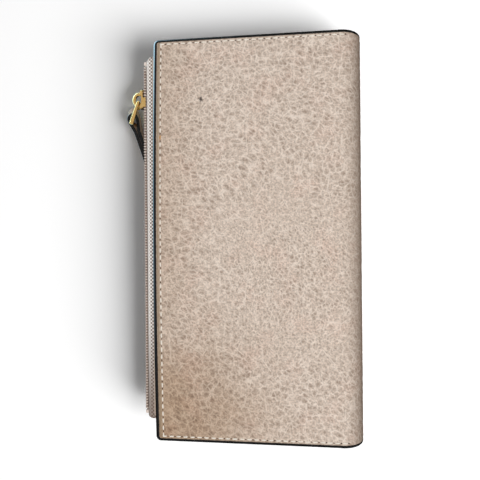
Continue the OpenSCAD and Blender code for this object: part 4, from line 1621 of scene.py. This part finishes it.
def sew(name, paths, body, seed, pitch=STITCH_PITCH, length=STITCH_LEN, width=THREAD_W,
        high=STITCH_HIGH, odd_share=0.0, flip=False):
    """Sews seams with thread and needle holes, and lets them ride on a body."""
    turned = Matrix.Rotation(math.pi, 4, "X") if flip else Matrix.Identity(4)
    for label, element, finish, stir in (
            ("", stitch_element(length, width, high), THREAD, STITCH_STIR),
            ("_holes", hole_element(pitch, HOLE_R * width / THREAD_W), NEEDLE_HOLE, 0.0)):
        element.data.transform(turned)
        row = path_object(name + label, paths)
        run_tree(row, seam_tree("seam", element, finish, GOLD_THREAD),
                 {"Pitch": pitch * MM, "Stir": stir, "Odd Share": odd_share * (label == ""),
                  "Seed": float(seed)})
        smooth(row)
        bpy.data.objects.remove(element)
        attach(row, body)
        print(row.name, "faces:", len(row.data.polygons))


# %% Cover seams
SEAM_START = QUARTER - 1.0
CORNER_GAP = 0.5
END_POINTS = 60
OPEN_POINTS = 90


def cover_seams(front):
    """Paths of the seams along the two ends and the open edge of a cover."""
    paths = []
    corner_y = COVER_HALF - STITCH_END
    for sign in (1, -1):
        corner_x = open_edge_x(corner_y) + STITCH_OPEN
        stop = QUARTER + SPINE_X - corner_x
        places = np.linspace(stop - CORNER_GAP, SEAM_START, END_POINTS)
        paths.append([on_cover(s, sign * corner_y, leather_depth(s, corner_y)[0], front)
                      for s in places])
    line = []
    for y in np.linspace(corner_y - CORNER_GAP, -corner_y + CORNER_GAP, OPEN_POINTS):
        s = QUARTER + SPINE_X - open_edge_x(y) - STITCH_OPEN
        line.append(on_cover(s, y, leather_depth(s, y)[0], front))
    return paths + [line]


for side, is_front in (("front", True), ("back", False)):
    sew(side + "_cover_stitches", cover_seams(is_front), side + "_leaf", seed=7,
        odd_share=0.02, flip=not is_front)

# %% Seams inside
SLOT_SEAM = 1.9
SLOT_SEAM_START = 2.4
SLOT_SEAM_LEN = 8.8
SLOT_SEAM_BACK = 3.0
SLOT_POINTS = 12
SEAM_SINK = 0.1
POCKET_SEAM = 2.9
POCKET_SEAM_END = 1.5
FINE_SEAM = {"pitch": 2.6, "length": 1.9, "width": 0.5, "high": 0.18}


def slot_seams(front):
    """Seams that hold the card slots: one near each end and one across the middle."""
    paths = []
    for index in range(1, SLOT_COUNT + 1):
        low, high = span("back_card_slot_" + str(index))
        start = low.x + SLOT_SEAM_START
        stop = high.x - SLOT_SEAM_BACK if index == SLOT_COUNT else start + SLOT_SEAM_LEN
        z = high.z - SEAM_SINK
        for y in (low.y + SLOT_SEAM, 0.0, high.y - SLOT_SEAM):
            paths.append([(x, y, WALLET_T - z if front else z)
                          for x in np.linspace(start, stop, SLOT_POINTS)])
    return paths


for side, is_front in (("front", True), ("back", False)):
    sew(side + "_slot_stitches", slot_seams(is_front), side + "_leaf", seed=11, flip=is_front,
        **FINE_SEAM)
for side, flipped in (("upper", False), ("lower", True)):
    low, high = span("pocket_upper_leather")
    z = high.z - SEAM_SINK
    sew("pocket_" + side + "_stitches",
        [[(low.x + POCKET_SEAM, y, WALLET_T - z if flipped else z)
          for y in np.linspace(low.y + POCKET_SEAM_END, high.y - POCKET_SEAM_END, END_POINTS)]],
        "zip_leaf", seed=13, flip=flipped, **FINE_SEAM)

# %% [markdown]
# ## Floor, light and camera
# The photo's shadow is long and soft towards the upper left, while the wallet itself is
# lit evenly from above. One lamp can't give both, so a low lamp lights only the sheet, and
# a large soft lamp overhead lights all but the sheet. Each of them together with an even
# sky lights a level white surface to white, so every colour above renders about as it is
# written. The camera sees the sheet, and the backdrop past its edge, as near white. In
# gloss the wallet sees a room instead: a pale ceiling, dark walls and on its left a pale
# blue window that fades towards the lower end. A real panel of light would do the same,
# but it would also light the matt leather.

# %% The room that is seen in gloss
# How high a direction points where the window is still full, and where it has ended
WINDOW_LOW = 0.12
WINDOW_HIGH = 0.34
# The window along Y in millimetres: where its dim part and its bright part begin and are
# full, and the share of its light that each adds
WINDOW_DIM = (-85.0, 0.0, 0.3)
WINDOW_BRIGHT = (50.0, 130.0, 0.7)
# A direction of 1 stands for this many millimetres of the room
ROOM_MM = 250.0


def window_share(tree, along, unit):
    """How bright the window is along Y: dim in the middle, bright past the upper end."""
    parts = [add(tree, "ShaderNodeMapRange", (along, start * unit, stop * unit, 0.0, share),
                 **EASED).outputs[0] for start, stop, share in (WINDOW_DIM, WINDOW_BRIGHT)]
    return add(tree, "ShaderNodeMath", parts, operation="ADD").outputs[0]


def brightened(code, strength):
    """A colour in linear light, times a strength."""
    return tuple(c * strength for c in linear(code)[:3]) + (1.0,)


WINDOW = brightened("b4dcef", 15.0)
WALL = brightened("24211e", 1.0)
CEILING = brightened("fff8ee", 0.7)
print("window in linear light:", [round(c, 2) for c in WINDOW[:3]])

# %% Floor
FLOOR_SIZE = 6.0
FLOOR_GAP = 0.02 * MM
CAMERA_GAIN = 1.17
# In gloss the sheet shows the window from the first X on, and in full from the second
SHEET_WINDOW = (-60.0, -75.0)


def white_sheet():
    """Matt white paper, a little brighter to the camera, with the room's gloss over it."""
    made, tree, shader = new_material("matt_white_paper", roughness=0.95, specular_ior_level=0.0)
    path = add(tree, "ShaderNodeLightPath").outputs
    seen = layered(tree, linear("fcfcfc"),
                   (path["Is Camera Ray"], brightened("ffffff", CAMERA_GAIN)))
    tree.links.new(seen, shader.inputs["Base Color"])
    place = add(tree, "ShaderNodeTexCoord").outputs["Object"]
    x, y, z = add(tree, "ShaderNodeSeparateXYZ", (place,)).outputs
    near = add(tree, "ShaderNodeMapRange", (x, SHEET_WINDOW[0] * MM, SHEET_WINDOW[1] * MM),
               **EASED).outputs[0]
    share = add(tree, "ShaderNodeMath", (near, window_share(tree, y, MM)), operation="MULTIPLY")
    glow = add(tree, "ShaderNodeEmission",
               {"Color": layered(tree, WALL, (share.outputs[0], WINDOW))})
    both = add(tree, "ShaderNodeMixShader",
               (path["Is Glossy Ray"], shader.outputs[0], glow.outputs[0]))
    output = next(node for node in tree.nodes if node.bl_idname == "ShaderNodeOutputMaterial")
    tree.links.new(both.outputs[0], output.inputs["Surface"])
    return made


half_floor = FLOOR_SIZE / 2 / MM
floor = make_object(
    "floor",
    [(-half_floor, -half_floor, 0), (half_floor, -half_floor, 0),
     (half_floor, half_floor, 0), (-half_floor, half_floor, 0)],
    [(0, 1, 2, 3)], white_sheet(), smooth=False)
floor.data.transform(Matrix.Translation((0, 0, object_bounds()[0].z - FLOOR_GAP)))
floor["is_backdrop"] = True
print("floor at", round(floor.data.vertices[0].co.z / MM, 3), "mm")

# %% Lamps
def soft_lamp(name, place, size, watts, floor_only):
    """A large square lamp turned to the wallet, which lights only the sheet or all but it."""
    lamp = bpy.data.lights.new(name, "AREA")
    lamp.size = size * MM
    lamp.energy = watts
    made = bpy.data.objects.new(name, lamp)
    made.location = Vector(place) * MM
    made.rotation_mode = "QUATERNION"
    made.rotation_quaternion = (-made.location).to_track_quat("-Z", "Y")
    made.visible_glossy = False
    bpy.context.scene.collection.objects.link(made)
    lit = bpy.data.collections.new(name + "_lights")
    lit.objects.link(floor)
    made.light_linking.receiver_collection = lit
    lit.collection_objects[0].light_linking.link_state = "INCLUDE" if floor_only else "EXCLUDE"
    print(name, "watts:", watts)


soft_lamp("low_lamp", place=(1630, -904, 1170), size=1380, watts=74.0, floor_only=True)
soft_lamp("overhead_lamp", place=(200, -160, 1150), size=620, watts=11.8, floor_only=False)

# %% Sky
SKY_STRENGTH = 0.22
# How high or how far left a direction points where the ceiling or window begins and is full
CEILING_RISE = (0.1, 0.75)
WINDOW_LEFT = (-0.45, -0.7)


def pale_sky():
    """A world of even light, with the room in gloss and a backdrop for the camera."""
    made = bpy.data.worlds.new("pale_sky")
    made.use_nodes = True
    tree = made.node_tree
    toward = add(tree, "ShaderNodeTexCoord").outputs["Generated"]
    x, y, z = add(tree, "ShaderNodeSeparateXYZ", (toward,)).outputs
    ceiling, left, level = [
        add(tree, "ShaderNodeMapRange", (value, *limits), **EASED).outputs[0]
        for value, limits in ((z, CEILING_RISE), (x, WINDOW_LEFT), (z, (WINDOW_HIGH, WINDOW_LOW)))]
    share = left
    for factor in (window_share(tree, y, 1 / ROOM_MM), level):
        share = add(tree, "ShaderNodeMath", (share, factor), operation="MULTIPLY").outputs[0]
    room = layered(tree, WALL, (ceiling, CEILING), (share, WINDOW))
    path = add(tree, "ShaderNodeLightPath").outputs
    seen = layered(tree, brightened("fdfdfd", SKY_STRENGTH),
                   (path["Is Camera Ray"], linear("fdfdfd")), (path["Is Glossy Ray"], room))
    tree.links.new(seen, tree.nodes["Background"].inputs["Color"])
    return made


bpy.context.scene.world = pale_sky()
bpy.context.scene.view_settings.view_transform = "Standard"
print("sky strength:", SKY_STRENGTH)

# %% [markdown]
# The camera stands almost over the wallet, a little towards the spine, and is tilted by a
# few degrees to look back at the middle. A camera could be tracked to the wallet, but its
# place and turn were matched to the corners in the photo instead, so that the render and
# the photo can be laid over each other.

# %% Camera
# Place in millimetres, turn as an axis times an angle in radians
CAMERA_PLACE = (18.46, -1.43, 233.28)
CAMERA_TURN = (0.00462, 0.11916, -0.00790)
CAMERA_LENS = 35.775
CAMERA_SENSOR = 36.0
CAMERA_NEAR = 5.0

turn = Vector(CAMERA_TURN)
camera_data = bpy.data.cameras.new("camera")
camera_data.lens = CAMERA_LENS
camera_data.sensor_width = CAMERA_SENSOR
camera_data.clip_start = CAMERA_NEAR * MM
camera_data.clip_end = 2 * FLOOR_SIZE
camera = bpy.data.objects.new("camera", camera_data)
camera.matrix_world = (Matrix.Translation(Vector(CAMERA_PLACE) * MM)
                       @ Matrix.Rotation(turn.length, 4, turn.normalized()))
bpy.context.scene.collection.objects.link(camera)
bpy.context.scene.camera = camera
print("camera height:", CAMERA_PLACE[2], "mm, turned", round(math.degrees(turn.length), 1), "degrees")

# %% [markdown]
# ## Measure the size
# Dressing may round an edge or lay on a thread, but it must not make the wallet a different
# size. So the bounds are measured once more.

# %% Measure the size
low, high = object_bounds()
